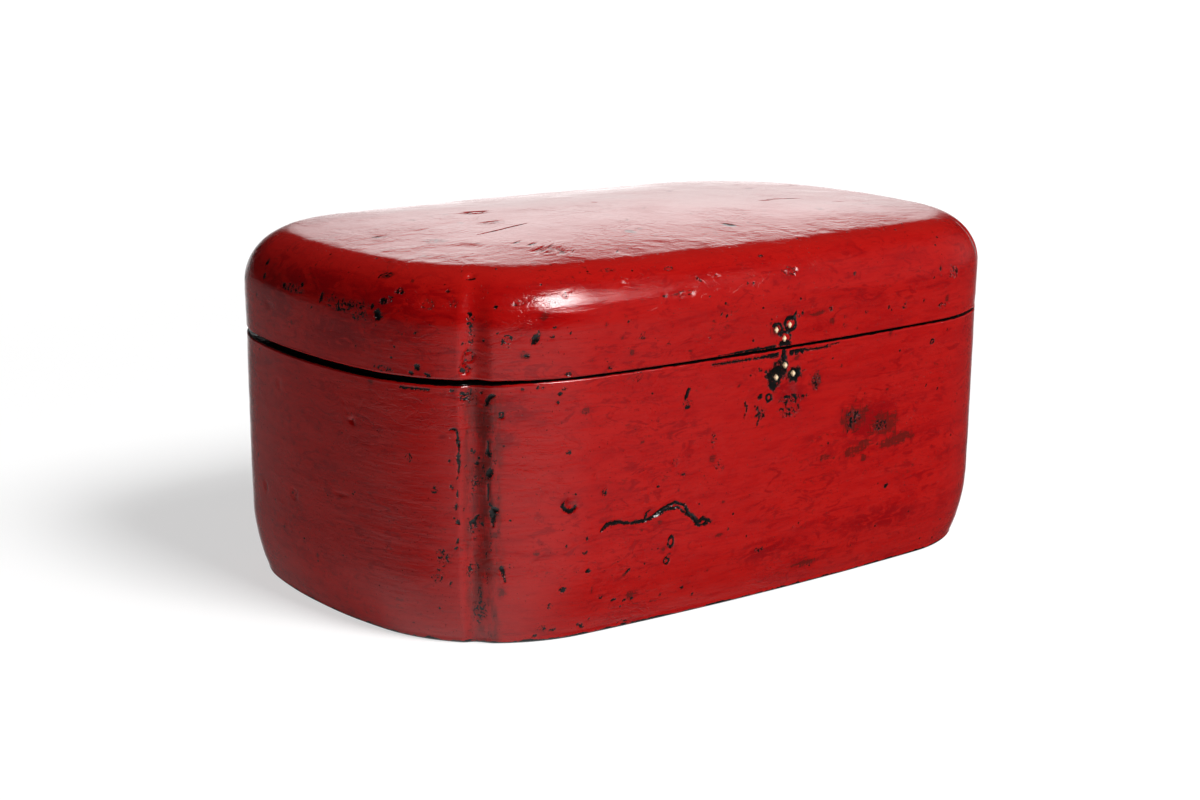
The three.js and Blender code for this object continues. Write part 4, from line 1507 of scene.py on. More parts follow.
    def shell(self) -> bpy.types.Object:
        """Builds the red shell.

        Returns:
            The shell, worn and marked.
        """
        rows = self.shell_rows()
        trace = self.outline.spaced(crowded(1.7, self.CROWDS), self.seats.cuts(self.outline))
        grid = sweep(trace, rows, self.outline.groove_depth)
        wear = Wear(seed=11, marks=placed(self.MARKS), cracks=self.CRACKS)
        worn = wear.weather(self.outline, trace, grid, rows)
        low = self.sag * soft_step(-self.sag_from, -self.sag_to, trace.point[:, 0])
        rise = soft_step(self.height - self.sag_height, self.height, grid[:, :, 2])
        worn[:, :, 2] -= low[:, None] * rise
        shell = ring_object("base_shell", self.seats.sink(worn, self.height), Ends.LOOP)
        wear.mark(shell)
        return dress(shell, self.finishes.red)

    def lining_ring(self) -> bpy.types.Object:
        """Builds the dark lining of the walls, from the floor up to the lip.

        Returns:
            The lining.
        """
        top, ledge = self.height - self.lip_drop - self.glue, self.board + self.glue
        rows = []
        for z in np.linspace(ledge, top, 40):
            rows.append(Row(self._inside(float(z)), float(z)))
        for z in np.linspace(top, ledge, 24):
            rows.append(Row(self._inside(float(z)) - self.lining, float(z)))
        trace = self.outline.spaced(lambda point: np.full(len(point), 2.5 * MM))
        lining = ring_object("base_lining", sweep(trace, rows, 0), Ends.LOOP)
        return dress(lining, self.finishes.dark)

    def _inside(self, z: float) -> float:
        """Inset of the inside of the walls at a height."""
        return self.wall + self.inset(min(z, self.turn_start)) - self.inset(self.turn_start)

    def lip(self, side: int) -> bpy.types.Object:
        """Builds one of the two bent strips that guide the lid.

        Args:
            side: 1 for the strip at the back, -1 for the one at the front.

        Returns:
            The strip.
        """
        outer, inner = self.wall + self.glue, self.wall + self.glue + self.lip_thickness
        low, high = self.height - self.lip_drop, self.height + self.lip_rise
        soft = 0.5 * MM
        profile = [(outer, low), (outer, high - self.lip_lead)]
        profile += [(outer + self.lip_lead * s, high - self.lip_lead * (1 - s)) for s in (0.35, 0.7)]
        profile += [(outer + self.lip_lead, high)]
        profile += arc_rows((inner - soft, high), (inner, high), (inner, high - soft), 3)
        profile += [(inner, float(z)) for z in np.linspace(high - soft, low, 14)]
        quarter = self.outline.runs[2]
        run = np.linspace(0, 2 * quarter, 260)
        trace = self.outline.trace(run if side > 0 else run + 2 * quarter)
        trace.point[:, 1] = side * np.maximum(side * trace.point[:, 1], self.glue)
        rows = [Row(inset, z) for inset, z in profile]
        grid = sweep(trace, rows, 0)
        stations, count = grid.shape[:2]
        points = grid.reshape(-1, 3).tolist()
        last = (stations - 1) * count
        faces = [tuple(range(count)), tuple(range(last, last + count))[::-1]] + bands(stations, count)
        name = "rim_lip_strip_" + ("back" if side > 0 else "front")
        strip = mesh_object(name, points, faces)
        return dress(strip, self.finishes.dark)

    def build(self) -> None:
        """Builds the base's pieces and hands them over."""
        hand_over(self.shell(), "base", carcass_nodes("base"))
        hand_over(self.lining_ring(), "base", [])
        hand_over(self.lip(1), "base", ["rim_lip_back"])
        hand_over(self.lip(-1), "base", ["rim_lip_front"])
        dress(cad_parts["base_bottom_board"], self.finishes.dark)


@dataclass
class Lid:
    """The upper half: one red shell from rim to crown, lined in dark lacquer."""

    outline: Outline
    seats: HingeSeats
    finishes: Finishes
    seam: float
    rim: float
    crown: float
    wall: float = 10.4 * MM
    wall_height: float = 22 * MM
    rise: float = 26.6 * MM
    reach: float = 28.4 * MM
    bulge: float = 0.4 * MM
    ceiling: float = 41 * MM
    cove: float = 16 * MM
    rim_round: float = 1.5 * MM
    shoulder_turn: float = 78.0
    fade: float = 72.0
    fine_height: float = 14 * MM
    lining: float = 1.1 * MM
    clearance: float = 0.1 * MM

    CROWDS = (
        Crowd(-200, 200, 0, 1.1),
        Crowd(-200, -150, 200, 1.1),
        Crowd(-200, -120, -40, 0.8),
        Crowd(-12, 12, 0, 0.5),
    )
    # Each mark: across, up, width and height, then depth and tilt where they aren't the usual ones
    MARKS = {
        (Face.LEFT_END, Kind.PIT): (
            (42, 158, 2.2, 2.2), (39, 153, 2.4, 2.4), (16, 152, 2.6, 2.0), (1, 154, 2.4, 2.2),
            (-17, 151, 2.4, 5),
        ),
        (Face.LEFT_END, Kind.STIPPLE): (
            (15, 152, 5.0, 4.2), (-30, 150, 30, 9), (-42, 151, 22, 7), (8, 152, 26, 6),
        ),
        # Painted shade: a deeper red over the lid's left end, where little light falls
        (Face.LEFT_END, Kind.FLUSH): (
            (-30, 138, 50, 20), (25, 145, 40, 24), (-10, 157, 90, 14),
        ),
        (Face.LEFT_END, Kind.RUB): (
            (7, 136, 3, 3),
        ),
        (Face.LEFT_END, Kind.DENT): (
            (30, 140, 12, 5, 0.4),
        ),
        # Painted shade: a deeper red over the lid's front left corner, where little light falls
        (Face.CORNER, Kind.FLUSH): (
            (-42, 150, 46, 26),
        ),
        (Face.CORNER, Kind.PIT): (
            (-46, 148, 4.8, 6.0, 0.45, 10), (-50, 152, 2.6, 2.2), (-38, 159, 2.6, 2.0),
            (-45, 155, 2.4, 2.2), (-12, 161, 2.2, 1.6), (-2, 166, 4, 1.6, 0.4, -25),
            (-4, 127, 3.0, 2.4, 0.4), (-25.4, 128, 2.6, 3.0), (-28, 124.6, 2.8, 2.0),
            (-20, 124.6, 4.4, 1.6, 0.2, -25), (10, 155, 2.0, 1.8), (28, 141, 3.6, 5.4, 0.35, -25),
            (35, 142, 1.8, 1.6), (24, 134, 1.8, 1.6),
        ),
        (Face.CORNER, Kind.STIPPLE): (
            (-58, 147, 14, 6), (-43, 155, 12, 6, 0.2, 25), (-36, 160, 8, 5), (-49, 165, 6, 5),
            (-1, 146, 4, 26), (-42, 125, 16, 4), (-33, 141, 5, 2.4), (30, 138, 3, 3), (15, 140, 6, 9),
        ),
        (Face.CORNER, Kind.RUB): (
            (-49, 165, 9, 7), (-32, 164, 3.0, 2.4), (32, 151, 9, 5),
        ),
        (Face.CORNER, Kind.BLISTER): (
            (-21, 155, 6, 5, 0.35), (-9, 156, 4, 3, 0.3), (-2, 133, 5, 6, 0.6),
            (-3.6, 128, 5.4, 5, 0.6), (21, 157, 14, 2.6, 0.3), (73, 167, 5, 2.4, 0.4),
        ),
        (Face.CORNER, Kind.DENT): (
            (-21, 155, 3, 3, 0.5), (-3, 167, 7, 4, 0.9),
        ),
        (Face.CORNER, Kind.SCRATCH): (
            (-38, 138, 14, 0.9, 0.2, 28),
        ),
        (Face.CORNER, Kind.RING): (
            (43, 124.6, 3.0, 1.6),
        ),
        (Face.FRONT, Kind.PIT): (
            (-102, 125, 2.4, 1.6), (-71, 154, 2.4, 1.6, 0.4), (109, 149, 1.6, 1.6), (71, 134, 1.6, 1.6),
            (0.2, 124.4, 8, 3.0, 0.4), (-2.4, 129.6, 3, 2.6, 0.3), (-6.6, 133.6, 3.4, 2.4, 0.3),
            (6.4, 138.4, 1.4, 3.0, 0.2, -20), (11, 138.4, 1.4, 2.6, 0.2, -30),
        ),
        (Face.FRONT, Kind.BLISTER): (
            (-62, 165, 6, 3, 0.4), (-38, 160, 3, 2, 0.4), (6, 158, 9, 4, 0.4), (-59, 154, 12, 3, 0.5),
        ),
        (Face.FRONT, Kind.DENT): (
            (-41, 154, 2.4, 1.6, 0.4), (-91, 161, 3.0, 2.0, 0.5),
        ),
        (Face.FRONT, Kind.RUB): (
            (109, 149, 3.4, 3.4), (57, 155, 2.4, 1.8), (49, 126, 2.8, 2.0), (-5, 131.5, 11, 8),
            (22, 136.6, 18, 3.4, 0.2, 6), (-9, 135, 3, 2),
        ),
        (Face.FRONT, Kind.STIPPLE): (
            (120, 146, 10, 9), (111, 130, 12, 4), (30, 137.6, 6, 4),
        ),
        (Face.TOP, Kind.RUB): (
            (-161, 20, 8, 2), (-86, 35, 3, 6), (-94, 8, 6, 8), (-120, -41, 5, 6), (-43, -58, 8, 10),
        ),
        (Face.TOP, Kind.PIT): (
            (-143, 8, 5, 1.6, 0.3, 20), (12, -66, 5, 7, 0.3),
        ),
        (Face.TOP, Kind.BLISTER): (
            (-71, 29, 9, 12, 0.4), (-82, -1, 6, 10, 0.3), (-101, -72, 16, 9, 0.5),
        ),
        (Face.TOP, Kind.DENT): (
            (-120, 6, 5, 12, 0.35, 20), (-126, -42, 26, 7, 0.45, 10),
        ),
        (Face.TOP, Kind.STIPPLE): (
            (-129, -22, 14, 12), (-36, -54, 5, 8),
        ),
    }
    CRACKS = (
        Crack(Face.TOP, ((-104, -23), (-90, -20), (-76, -16)), 0.7, 0.3, 1.2),
        Crack(Face.TOP, ((-106, -52), (-101, -58), (-96, -66)), 0.8, 0.3, 0.5),
        Crack(Face.TOP, ((77, -18), (90, -16), (102, -18)), 0.6, 0.3, 0.9),
        Crack(Face.FRONT, ((-40, 123.3), (-20, 123.4), (-6, 123.6)), 0.8, 0.3, 1.6),
        Crack(Face.FRONT, arc(3.6, 133.6, 3.7, 2.9, 60, 330), 1.7, 0.4),
        Crack(Face.FRONT, arc(3.6, 133.6, 3.7, 2.9, -30, 60), 1.1, 0.4),
        Crack(Face.FRONT, arc(-4.8, 131.8, 3.2, 2.5, -60, 110), 1.1, 0.4),
        Crack(Face.FRONT, arc(0.2, 127.2, 3.5, 2.6, 60, 120), 1.0, 0.4),
        Crack(Face.FRONT, arc(0.6, 127.2, 3.4, 2.6, -30, 70), 0.9, 0.4),
    )

    def outside(self) -> list[Row]:
        """Draws the outside from the rim to the crown.

        Returns:
            The rows, rim first.
        """
        rim, top = self.rim, self.seam + self.wall_height
        # Painted shade in the seam: the lid's rim and its round are black towards the base
        rows = [Row(self.wall, rim, edge=1.3)]
        for share in (0.7, 0.35, 0.1, 0.0):
            inset = self.rim_round + (self.wall - self.rim_round) * share
            rows.append(Row(inset, rim, groove=1 - share, edge=1.3))
        rim_arc = arc_rows((self.rim_round, rim), (0, rim), (0, rim + self.rim_round), 5)
        for (inset, z), edge in zip(rim_arc, RIM_BLACK_AND_SEAM_SHADE[::-1]):
            rows.append(Row(inset, z, groove=1, skin=0.7, edge=edge))
        seat = self.seam + self.seats.half_height
        fine = [(self.seam, self.seam + self.fine_height)]
        for z in heights(rim + self.rim_round, top, fine, [seat]):
            share = (z - rim - self.rim_round) / (top - rim - self.rim_round)
            rows.append(Row(-self.bulge * math.sin(share * math.pi / 2), z, groove=1, skin=1))
        for degrees in np.linspace(0, self.shoulder_turn, 42)[1:]:
            angle = math.radians(float(degrees))
            inset = -self.bulge + self.reach * (1 - math.cos(angle))
            groove = max(0.0, 1 - float(degrees) / self.fade)
            rows.append(Row(inset, top + self.rise * math.sin(angle), groove=groove, skin=1))
        edge = rows[-1]
        for scale in np.linspace(1, 0.02, 46)[1:]:
            z = edge.z + (self.crown - edge.z) * (1 - float(scale) ** 2)
            rows.append(Row(edge.inset, z, scale=float(scale), skin=1))
        return rows

    def shell(self) -> bpy.types.Object:
        """Builds the red shell.

        Returns:
            The shell, worn and marked.
        """
        rows = self.outside()
        hidden = self.wall - self.lining - self.clearance
        inner = self._hollow(hidden, self.lining)
        inside = [Row(row.inset, row.z + self.clearance, scale=row.scale) for row in inner]
        rows = inside[::-1] + rows
        trace = self.outline.spaced(crowded(1.8, self.CROWDS), self.seats.cuts(self.outline))
        grid = sweep(trace, rows, self.outline.groove_depth)
        wear = Wear(seed=37, marks=placed(self.MARKS), cracks=self.CRACKS, rubbing=0.1)
        worn = wear.weather(self.outline, trace, grid, rows)
        shell = ring_object("lid_shell", self.seats.sink(worn, self.seam), Ends.AXIS)
        wear.mark(shell)
        return dress(shell, self.finishes.red)

    def _hollow(self, inset: float, above: float) -> list[Row]:
        """The inside of the lid from its rim to the middle of its ceiling.

        Args:
            inset: Inset of the wall.
            above: How much higher than the real ceiling it lies.

        Returns:
            The rows, rim first.
        """
        top, ceiling = self.seam + self.wall_height, self.seam + self.ceiling + above
        rows = [Row(inset, float(z)) for z in np.linspace(self.rim, top, 8)]
        for degrees in np.linspace(0, 90, 13)[1:]:
            angle = math.radians(float(degrees))
            rise = (ceiling - top) * math.sin(angle)
            rows.append(Row(inset + self.cove * (1 - math.cos(angle)), top + rise))
        edge = rows[-1]
        rows += [Row(edge.inset, ceiling, scale=float(scale)) for scale in np.linspace(1, 0.05, 20)[1:]]
        return rows

    def lining_cap(self) -> bpy.types.Object:
        """Builds the dark lining of the walls, the cove and the ceiling.

        Returns:
            The lining.
        """
        face = self._hollow(self.wall, 0)
        back = self._hollow(self.wall - self.lining, self.lining)
        trace = self.outline.spaced(lambda point: np.full(len(point), 2.6 * MM))
        grid = sweep(trace, face[::-1] + back, 0)
        lining = ring_object("lid_lining", grid, Ends.AXIS)
        return dress(lining, self.finishes.dark)

    def build(self) -> None:
        """Builds the lid's pieces and hands them over."""
        hand_over(self.shell(), "lid", carcass_nodes("lid") + ["lid_top_board"])
        hand_over(self.lining_cap(), "lid", [])


# Pegs and hinges


@dataclass
class ClaspPegs:
    """Six pale diamond pegs in the holes of the lost clasp, three in the lid and three in the base."""

    finishes: Finishes
    bevel: float = 0.25 * MM
    flank: float = 0.49
    half_share: float = 0.44
    NAMES = {"lid": ("left", "right", "lower"), "base": ("upper", "left", "right")}

    def peg(self, node: str, name: str, draw: np.random.Generator) -> bpy.types.Object:
        """Builds one peg, a little out of true, where its node stands.

        Args:
            node: The CAD node that it stands for.
            name: The new piece's name.
            draw: Random numbers for its shape.

        Returns:
            The peg.
        """
        low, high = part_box(node)
        middle, half = (low + high) / 2, (high - low) * self.half_share
        c = self.flank
        corners = [(1, 0), (c, c), (0, 1), (-c, c), (-1, 0), (-c, -c), (0, -1), (c, -c)]
        wobble = [float(draw.uniform(0.90, 1.0)) for _ in corners]
        levels = [(high.y, 0.8), (low.y + 3 * self.bevel, 1.0), (low.y + self.bevel, 0.98)]
        levels += [(low.y + 0.3 * self.bevel, 0.86), (low.y, 0.6)]
        points, rim = [], []
        for y, scale in levels:
            for (a, b), w in zip(corners, wobble):
                points.append((middle.x + a * half.x * scale * w, y, middle.z + b * half.z * scale * w))
                # Painted shade: the ring where the bevel starts is darkened
                rim.append(0.55 if scale > 0.9 else 0.0)
        count = len(corners)
        faces = bands(len(levels), count) + [tuple(range(count))[::-1]]
        points.append((middle.x, low.y, middle.z))
        rim.append(0.0)
        last = (len(levels) - 1) * count
        faces += [(len(points) - 1, last + (j + 1) % count, last + j) for j in range(count)]
        peg = mesh_object(name, points, faces, 30)
        set_field(peg, "rim", np.array(rim))
        return dress(peg, self.finishes.peg)

    def build(self) -> None:
        """Builds all six and hands them over."""
        draw = np.random.default_rng(5)
        for body, places in self.NAMES.items():
            for place in places:
                node = f"{body}_clasp_peg_{place}"
                hand_over(self.peg(node, f"{body}_peg_{place}", draw), body, [node])


def turned(name: str, profile: Sequence[tuple[float, float]], steps: int, axis: str) -> bpy.types.Object:
    """Turns a profile about an axis.

    Args:
        name: The object's name.
        profile: Radii and distances along the axis, the first and last on the axis.
        steps: Number of sides.
        axis: The axis, X or Y.

    Returns:
        The object, turned about the axis through the origin.
    """
    ends = [profile[0][1], profile[-1][1]]
    points = [(0.0, 0.0, ends[0])]
    rings = profile[1:-1]
    for radius, along in rings:
        for i in range(steps):
            angle = 2 * math.pi * i / steps
            points.append((radius * math.cos(angle), radius * math.sin(angle), along))
    points.append((0.0, 0.0, ends[1]))
    faces = [(0, 1 + (i + 1) % steps, 1 + i) for i in range(steps)] + bands(len(rings), steps, 1)
    start = 1 + (len(rings) - 1) * steps
    faces += [(len(points) - 1, start + i, start + (i + 1) % steps) for i in range(steps)]
    turn = Matrix.Rotation(math.pi / 2, 3, "Y") if axis == "X" else Matrix.Rotation(-math.pi / 2, 3, "X")
    return mesh_object(name, [tuple(turn @ Vector(p)) for p in points], faces, 35)


def prism_faces(count: int) -> list[tuple]:
    """The faces of a closed prism.

    Args:
        count: The corners of each of its four rings.

    Returns:
        The faces, for the rings' points in order.
    """
    return [tuple(range(count)), tuple(range(3 * count, 4 * count))[::-1]] + bands(4, count)


@dataclass
class Hinge:
    """A brass leaf hinge: two nailed leaves whose rolled eyes share one pin."""

    side: str
    finishes: Finishes
    knuckles: int = 3
    gap: float = 0.3 * MM
    thickness: float = 1.2 * MM
    pin_radius: float = 1.2 * MM
    pin_head: float = 1.9 * MM
    nail_head: float = 1.6 * MM
    nail_rise: float = 0.7 * MM
    nail_radius: float = 0.8 * MM

    def __post_init__(self) -> None:
        """Reads the hinge's place and sizes from its nodes."""
        self.low, self.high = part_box(f"hinge_{self.side}_lid_leaf")
        pin_low, pin_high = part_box(f"hinge_{self.side}_pin")
        self.axis = (pin_low + pin_high) / 2
        self.radius = self.axis.y - self.low.y
        self.pin_end = (pin_high.x - pin_low.x) / 2

    def plate(self, up: int) -> tuple[list, list]:
        """The plate of one leaf, with clipped corners, as points and faces.

        Args:
            up: 1 for the lid's leaf, -1 for the base's.

        Returns:
            Its points and its faces.
        """
        half = (self.high.x - self.low.x) / 2
        near, far = self.radius + self.gap, self.high.z - self.axis.z
        clip = 1.4 * MM
        outline = [(-half, near), (half, near), (half, far - clip)]
        outline += [(half - clip * 0.3, far - clip * 0.3), (half - clip, far), (-half + clip, far)]
        outline += [(-half + clip * 0.3, far - clip * 0.3), (-half, far - clip)]
        edge, top = 0.22 * MM, self.thickness
        points = []
        for y, shrink in ((0, 0), (top - edge, 0), (top - edge * 0.3, edge * 0.4), (top, edge)):
            for x, rise in outline:
                inward = rise - shrink if rise > (near + far) / 2 else rise
                points.append((x - math.copysign(shrink, x), y, up * inward))
        return points, prism_faces(len(outline))

    def eye(self, number: int, up: int) -> tuple[list, list]:
        """One knuckle, rolled from the leaf's own sheet, as points and faces.

        Args:
            number: Which knuckle, from the left.
            up: 1 for the lid's leaf, -1 for the base's.

        Returns:
            Its points and its faces.
        """
        half = (self.high.x - self.low.x) / 2
        pitch = 2 * half / self.knuckles
        start = -half + number * pitch + (self.gap / 2 if number else 0)
        stop = -half + (number + 1) * pitch - (self.gap / 2 if number < self.knuckles - 1 else 0)
        bore = self.pin_radius + 0.1 * MM
        sheet = self.radius - bore
        route = []
        for degrees in np.linspace(0, 330, 45):
            angle = math.pi - math.radians(float(degrees))
            route.append((math.cos(angle), math.sin(angle)))
        outside = self.radius - 0.02 * MM
        outer = [(self.radius + outside * c, -outside * s) for c, s in route]
        inner = [(self.radius + bore * c, -bore * s) for c, s in route]
        tail = self.radius + 2.0 * self.gap
        outer = [(0.0, tail)] + outer
        inner = [(sheet * 0.9, tail)] + inner
        soft = 0.15 * MM
        points = []
        for x, shrink in ((start, soft), (start + soft, 0), (stop - soft, 0), (stop, soft)):
            for (y, rise), (cy, crise) in zip(outer, inner):
                share = shrink / max(math.hypot(y - cy, rise - crise), 1e-9)
                points.append((x, y + (cy - y) * share, up * (rise + (crise - rise) * share)))
            for y, rise in inner[::-1]:
                points.append((x, y, up * rise))
        return points, prism_faces(2 * len(outer))

    def leaf(self, body: str) -> bpy.types.Object:
        """Builds one leaf.

        Args:
            body: lid or base.

        Returns:
            The leaf, with its knuckles.
        """
        up = 1 if body == "lid" else -1
        eyes = [1] if body == "lid" else [0, 2]
        work = bmesh.new()
        for points, faces in [self.plate(up)] + [self.eye(number, up) for number in eyes]:
            corners = [work.verts.new(p) for p in points]
            for face in faces:
                work.faces.new([corners[i] for i in face])
        bmesh.ops.recalc_face_normals(work, faces=work.faces)
        bmesh.ops.translate(work, vec=(self.axis.x, self.low.y, self.axis.z), verts=work.verts)
        mesh = bpy.data.meshes.new(f"brass_{self.side}_{body}_leaf")
        work.to_mesh(mesh)
        work.free()
        mesh.shade_smooth()
        mesh.set_sharp_from_angle(angle=math.radians(35))
        leaf = bpy.data.objects.new(mesh.name, mesh)
        bpy.context.scene.collection.objects.link(leaf)
        return dress(leaf, self.finishes.brass)

    def pin(self) -> bpy.types.Object:
        """Builds the pin with its two hammered heads.

        Returns:
            The pin.
        """
        shank = self.pin_end - 0.8 * MM
        head = [(self.pin_radius, shank), (self.pin_head * 0.95, shank), (self.pin_head, shank + 0.2 * MM)]
        head += [(self.pin_head * 0.94, shank + 0.5 * MM), (self.pin_head * 0.6, self.pin_end - 0.06 * MM)]
        profile = [(0, -self.pin_end)] + [(r, -z) for r, z in head[::-1]] + head + [(0, self.pin_end)]
        pin = turned(f"brass_{self.side}_pin", profile, 40, "X")
        pin.data.transform(Matrix.Translation(self.axis))
        return dress(pin, self.finishes.brass)

    def nail(self, body: str, number: int) -> bpy.types.Object:
        """Builds one nail with a low round head, where its node stands.

        Args:
            body: lid or base, whose leaf it holds.
            number: Which nail, from 1.

        Returns:
            The nail.
        """
        low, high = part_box(f"hinge_{self.side}_{body}_nail_{number}")
        middle = (low + high) / 2
        length = high.y - low.y
        under = length - self.nail_rise
        radius = self.nail_radius
        profile = [(0, 0), (radius * 0.2, 0.05 * MM), (radius, 2 * MM), (radius, under)]
        for degrees in (0, 20, 40, 60, 78):
            angle = math.radians(degrees)
            profile.append((self.nail_head * math.cos(angle), under + self.nail_rise * math.sin(angle)))
        profile.append((0, length))
        nail = turned(f"brass_{self.side}_{body}_nail_{number}", profile, 28, "Y")
        nail.data.transform(Matrix.Translation((middle.x, low.y, middle.z)))
        return dress(nail, self.finishes.brass)

    def build(self) -> None:
        """Builds the hinge's pieces and hands them over."""
        for body in ("lid", "base"):
            name = f"hinge_{self.side}_{body}"
            hand_over(self.leaf(body), body, [name + "_leaf"])
            for number in (1, 2, 3):
                hand_over(self.nail(body, number), body, [f"{name}_nail_{number}"])
        hand_over(self.pin(), "base", [f"hinge_{self.side}_pin"])


# The studio


@dataclass(frozen=True)
class PhotoCamera:
    """The camera of the photograph. Angles are in degrees and lengths in metres."""

    lens: float = 64.95
    azimuth: float = -38.273
    elevation: float = 13.04
    roll: float = 0.488
    distance: float = 1.1151
    middle: float = 0.08797
    shift_right: float = -0.011551
    shift_up: float = -0.012928

    def build(self) -> bpy.types.Object:
        """Places the camera and makes it the scene's.

        Returns:
            The camera.
        """
        turn, tip, roll = (math.radians(a) for a in (self.azimuth, self.elevation, self.roll))
        back = Vector((math.sin(turn) * math.cos(tip), -math.cos(turn) * math.cos(tip), math.sin(tip)))
        right = Vector((0, 0, 1)).cross(back).normalized()
        up = back.cross(right)
        across = right * math.cos(roll) + up * math.sin(roll)
        upright = up * math.cos(roll) - right * math.sin(roll)
        aim = Vector((0, 0, self.middle)) + across * self.shift_right + upright * self.shift_up
        data = bpy.data.cameras.new("photo_camera")
        data.lens = self.lens
        data.sensor_width = 36
        data.sensor_fit = "HORIZONTAL"
        data.clip_end = 100
        data.dof.use_dof = False
        camera = bpy.data.objects.new("photo_camera", data)
        axes = Matrix((across, upright, back)).transposed().to_4x4()
        camera.matrix_world = Matrix.Translation(aim + back * self.distance) @ axes
        bpy.context.scene.collection.objects.link(camera)
        bpy.context.scene.camera = camera
        return camera


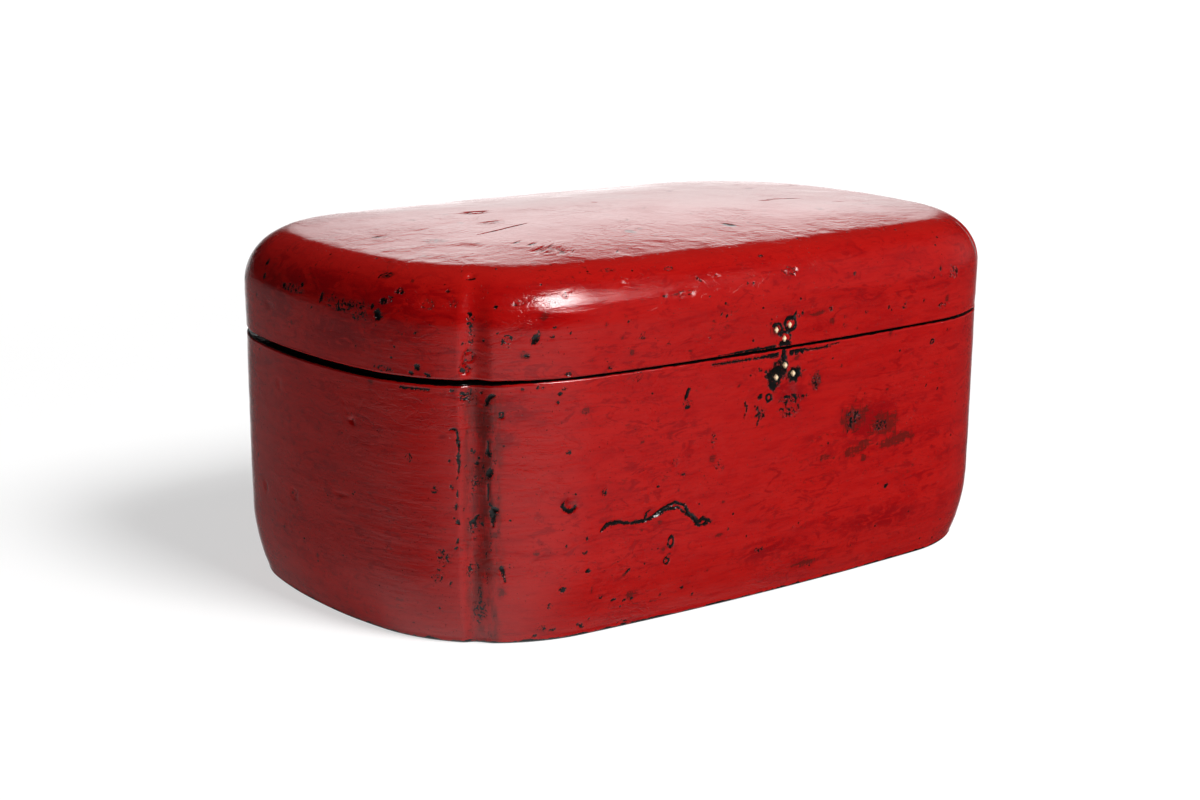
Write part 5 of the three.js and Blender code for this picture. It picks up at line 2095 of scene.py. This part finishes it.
@dataclass(frozen=True)
class Studio:
    """A white floor, soft lamps in front on the right, a white screen behind and a dim room."""

    floor_radius: float = 30.0
    lamp_azimuth: float = 158.0
    lamp_elevation: float = 45.0
    lamp_softness: float = 30.0
    lamp_strength: float = 1.95
    box_azimuth: float = 169.5
    box_elevation: float = 46.5
    box_distance: float = 4.0
    box_width: float = 1.42
    box_height: float = 1.30
    box_power: float = 130.0
    haze_azimuth: float = 161.5
    haze_elevation: float = 47.0
    haze_width: float = 1.95
    haze_height: float = 1.65
    haze_power: float = 185.0
    sky: float = 0.012
    fill_azimuth: float = 118.0
    fill: float = 0.25
    low: float = 0.06
    front_azimuth: float = 199.0
    front_glow: float = 1.05
    left_azimuth: float = 245.0
    left_glow: float = 1.0
    underfoot: float = 0.85
    beside_azimuth: float = 322.0
    beside_glow: float = 0.12
    behind_azimuth: float = 38.0
    behind_glow: float = 0.8
    screen_azimuth: float = 39.0
    screen_half_width: float = 10.5
    screen_light: float = 1.72

    def floor(self) -> bpy.types.Object:
        """Lays the floor, a shallow disc whose top is at the box's feet.

        Returns:
            The floor.
        """
        steps = 96
        rings = [(self.floor_radius, 0.0), (self.floor_radius, -0.01)]
        points = []
        for radius, z in rings:
            for i in range(steps):
                angle = 2 * math.pi * i / steps
                points.append((radius * math.cos(angle), radius * math.sin(angle), z))
        faces = [tuple(range(steps)), tuple(range(steps, 2 * steps))[::-1]] + bands(2, steps)
        floor = mesh_object("studio_floor", points, faces)
        floor.visible_glossy = False
        return dress(floor, StudioFloor().material())

    def lamps(self) -> None:
        """Hangs the wide lamp that lights the box, the soft box that it mirrors and the haze round that."""
        sun = bpy.data.lights.new("wide_lamp", "SUN")
        sun.energy = self.lamp_strength
        sun.angle = math.radians(self.lamp_softness)
        self._hang(sun, self.lamp_azimuth, self.lamp_elevation).visible_glossy = False
        panel = self._panel("soft_box", self.box_width, self.box_height, self.box_power)
        self._hang(panel, self.box_azimuth, self.box_elevation)
        haze = self._panel("soft_box_haze", self.haze_width, self.haze_height, self.haze_power)
        self._hang(haze, self.haze_azimuth, self.haze_elevation).visible_diffuse = False

    @staticmethod
    def _panel(name: str, width: float, height: float, power: float) -> bpy.types.AreaLight:
        """Makes a flat lamp.

        Args:
            name: Its name.
            width: Its width, in metres.
            height: Its height, in metres.
            power: Its power, in watts.

        Returns:
            The lamp.
        """
        panel = bpy.data.lights.new(name, "AREA")
        panel.shape = "RECTANGLE"
        panel.size = width
        panel.size_y = height
        panel.energy = power
        return panel

    def _hang(self, data: bpy.types.Light, azimuth: float, elevation: float) -> bpy.types.Object:
        """Places a lamp so that it shines at the box.

        Args:
            data: The lamp.
            azimuth: Its direction from the box, in degrees from +Y towards +X.
            elevation: Its height above the floor, in degrees.

        Returns:
            The lamp's object.
        """
        lamp = bpy.data.objects.new(data.name, data)
        turn, tip = math.radians(azimuth), math.radians(elevation)
        toward = Vector((math.sin(turn) * math.cos(tip), math.cos(turn) * math.cos(tip), math.sin(tip)))
        lamp.location = toward * self.box_distance
        lamp.rotation_euler = toward.to_track_quat("Z", "Y").to_euler()
        bpy.context.scene.collection.objects.link(lamp)
        return lamp

    def surroundings(self) -> None:
        """Makes the room that the lacquer mirrors: a dim sky, a bright screen and the floor's glow."""
        world = bpy.data.worlds.new("room")
        world.use_nodes = True
        n = Nodes(world.node_tree)
        direction = n.add("ShaderNodeTexCoord").outputs["Generated"]
        z = n.add("ShaderNodeSeparateXYZ", {0: direction}).outputs["Z"]

        def toward(azimuth: float) -> bpy.types.NodeSocket:
            """How squarely a level direction is faced."""
            turn = math.radians(azimuth)
            return n.dot(direction, (math.sin(turn), math.cos(turn), 0))

        side = n.math("ARCTAN2", toward(self.screen_azimuth + 90), toward(self.screen_azimuth))
        off = n.math("ABSOLUTE", n.product(side, 180 / math.pi))
        across = n.ramp(off, self.screen_half_width + 5, self.screen_half_width - 5)
        upward = n.product(n.ramp(z, 0.40, 0.27), n.ramp(z, 0.0, 0.21, 0.55, 1.0), n.ramp(z, -0.45, -0.12))
        screen = n.product(across, upward, self.screen_light)
        deep = n.ramp(z, -0.2, -0.6)
        front = n.product(n.ramp(toward(self.front_azimuth), 0.36, 0.97), n.ramp(deep, 0, 1, 1, 0.5))
        front = n.product(front, n.ramp(z, 0.0, -0.25), self.front_glow)
        left = n.product(n.ramp(toward(self.left_azimuth), 0.0, 0.7), deep, self.left_glow)
        behind = n.product(n.ramp(toward(self.behind_azimuth), 0.84, 0.98), self.behind_glow)
        beside = n.product(n.ramp(toward(self.beside_azimuth), 0.3, 0.9), self.beside_glow)
        feet = n.ramp(z, -0.62, -0.92, self.low, self.underfoot)
        below = n.total(front, left, feet, behind, beside)
        fill = n.ramp(toward(self.fill_azimuth), 0.6, 0.95, self.sky, self.fill)
        room = n.ramp(z, 0.03, -0.05)
        strength = n.total(n.product(room, below), n.product(n.ramp(room, 0, 1, 1, 0), fill), screen)
        background = n.add("ShaderNodeBackground", {"Color": (1, 1, 1, 1), "Strength": strength})
        n.add("ShaderNodeOutputWorld", {"Surface": background.outputs[0]})
        bpy.context.scene.world = world

    def build(self) -> None:
        """Sets up the floor, the lamps, the room and how light becomes colour."""
        self.floor()
        self.lamps()
        self.surroundings()
        bpy.context.scene.view_settings.view_transform = "Standard"


def main() -> None:
    """Builds the camera, the studio and every piece of the box."""
    logging.basicConfig(level=logging.INFO, format="%(name)s: %(message)s")
    PhotoCamera().build()
    Studio().build()
    left_low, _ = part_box("base_left_end")
    _, right_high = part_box("base_right_end")
    front_low, front_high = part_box("base_front_wall")
    _, back_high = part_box("base_back_wall")
    _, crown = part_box("lid_top_board")
    rim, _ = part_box("lid_left_end")
    outline = Outline(length=right_high.x - left_low.x, depth=back_high.y - front_low.y)
    seats = HingeSeats()
    finishes = Finishes()
    seam = front_high.z
    Base(outline, seats, finishes, height=seam).build()
    Lid(outline, seats, finishes, seam=seam, rim=rim.z, crown=crown.z).build()
    ClaspPegs(finishes).build()
    for side in ("left", "right"):
        Hinge(side, finishes).build()


if __name__ == "__main__":
    main()
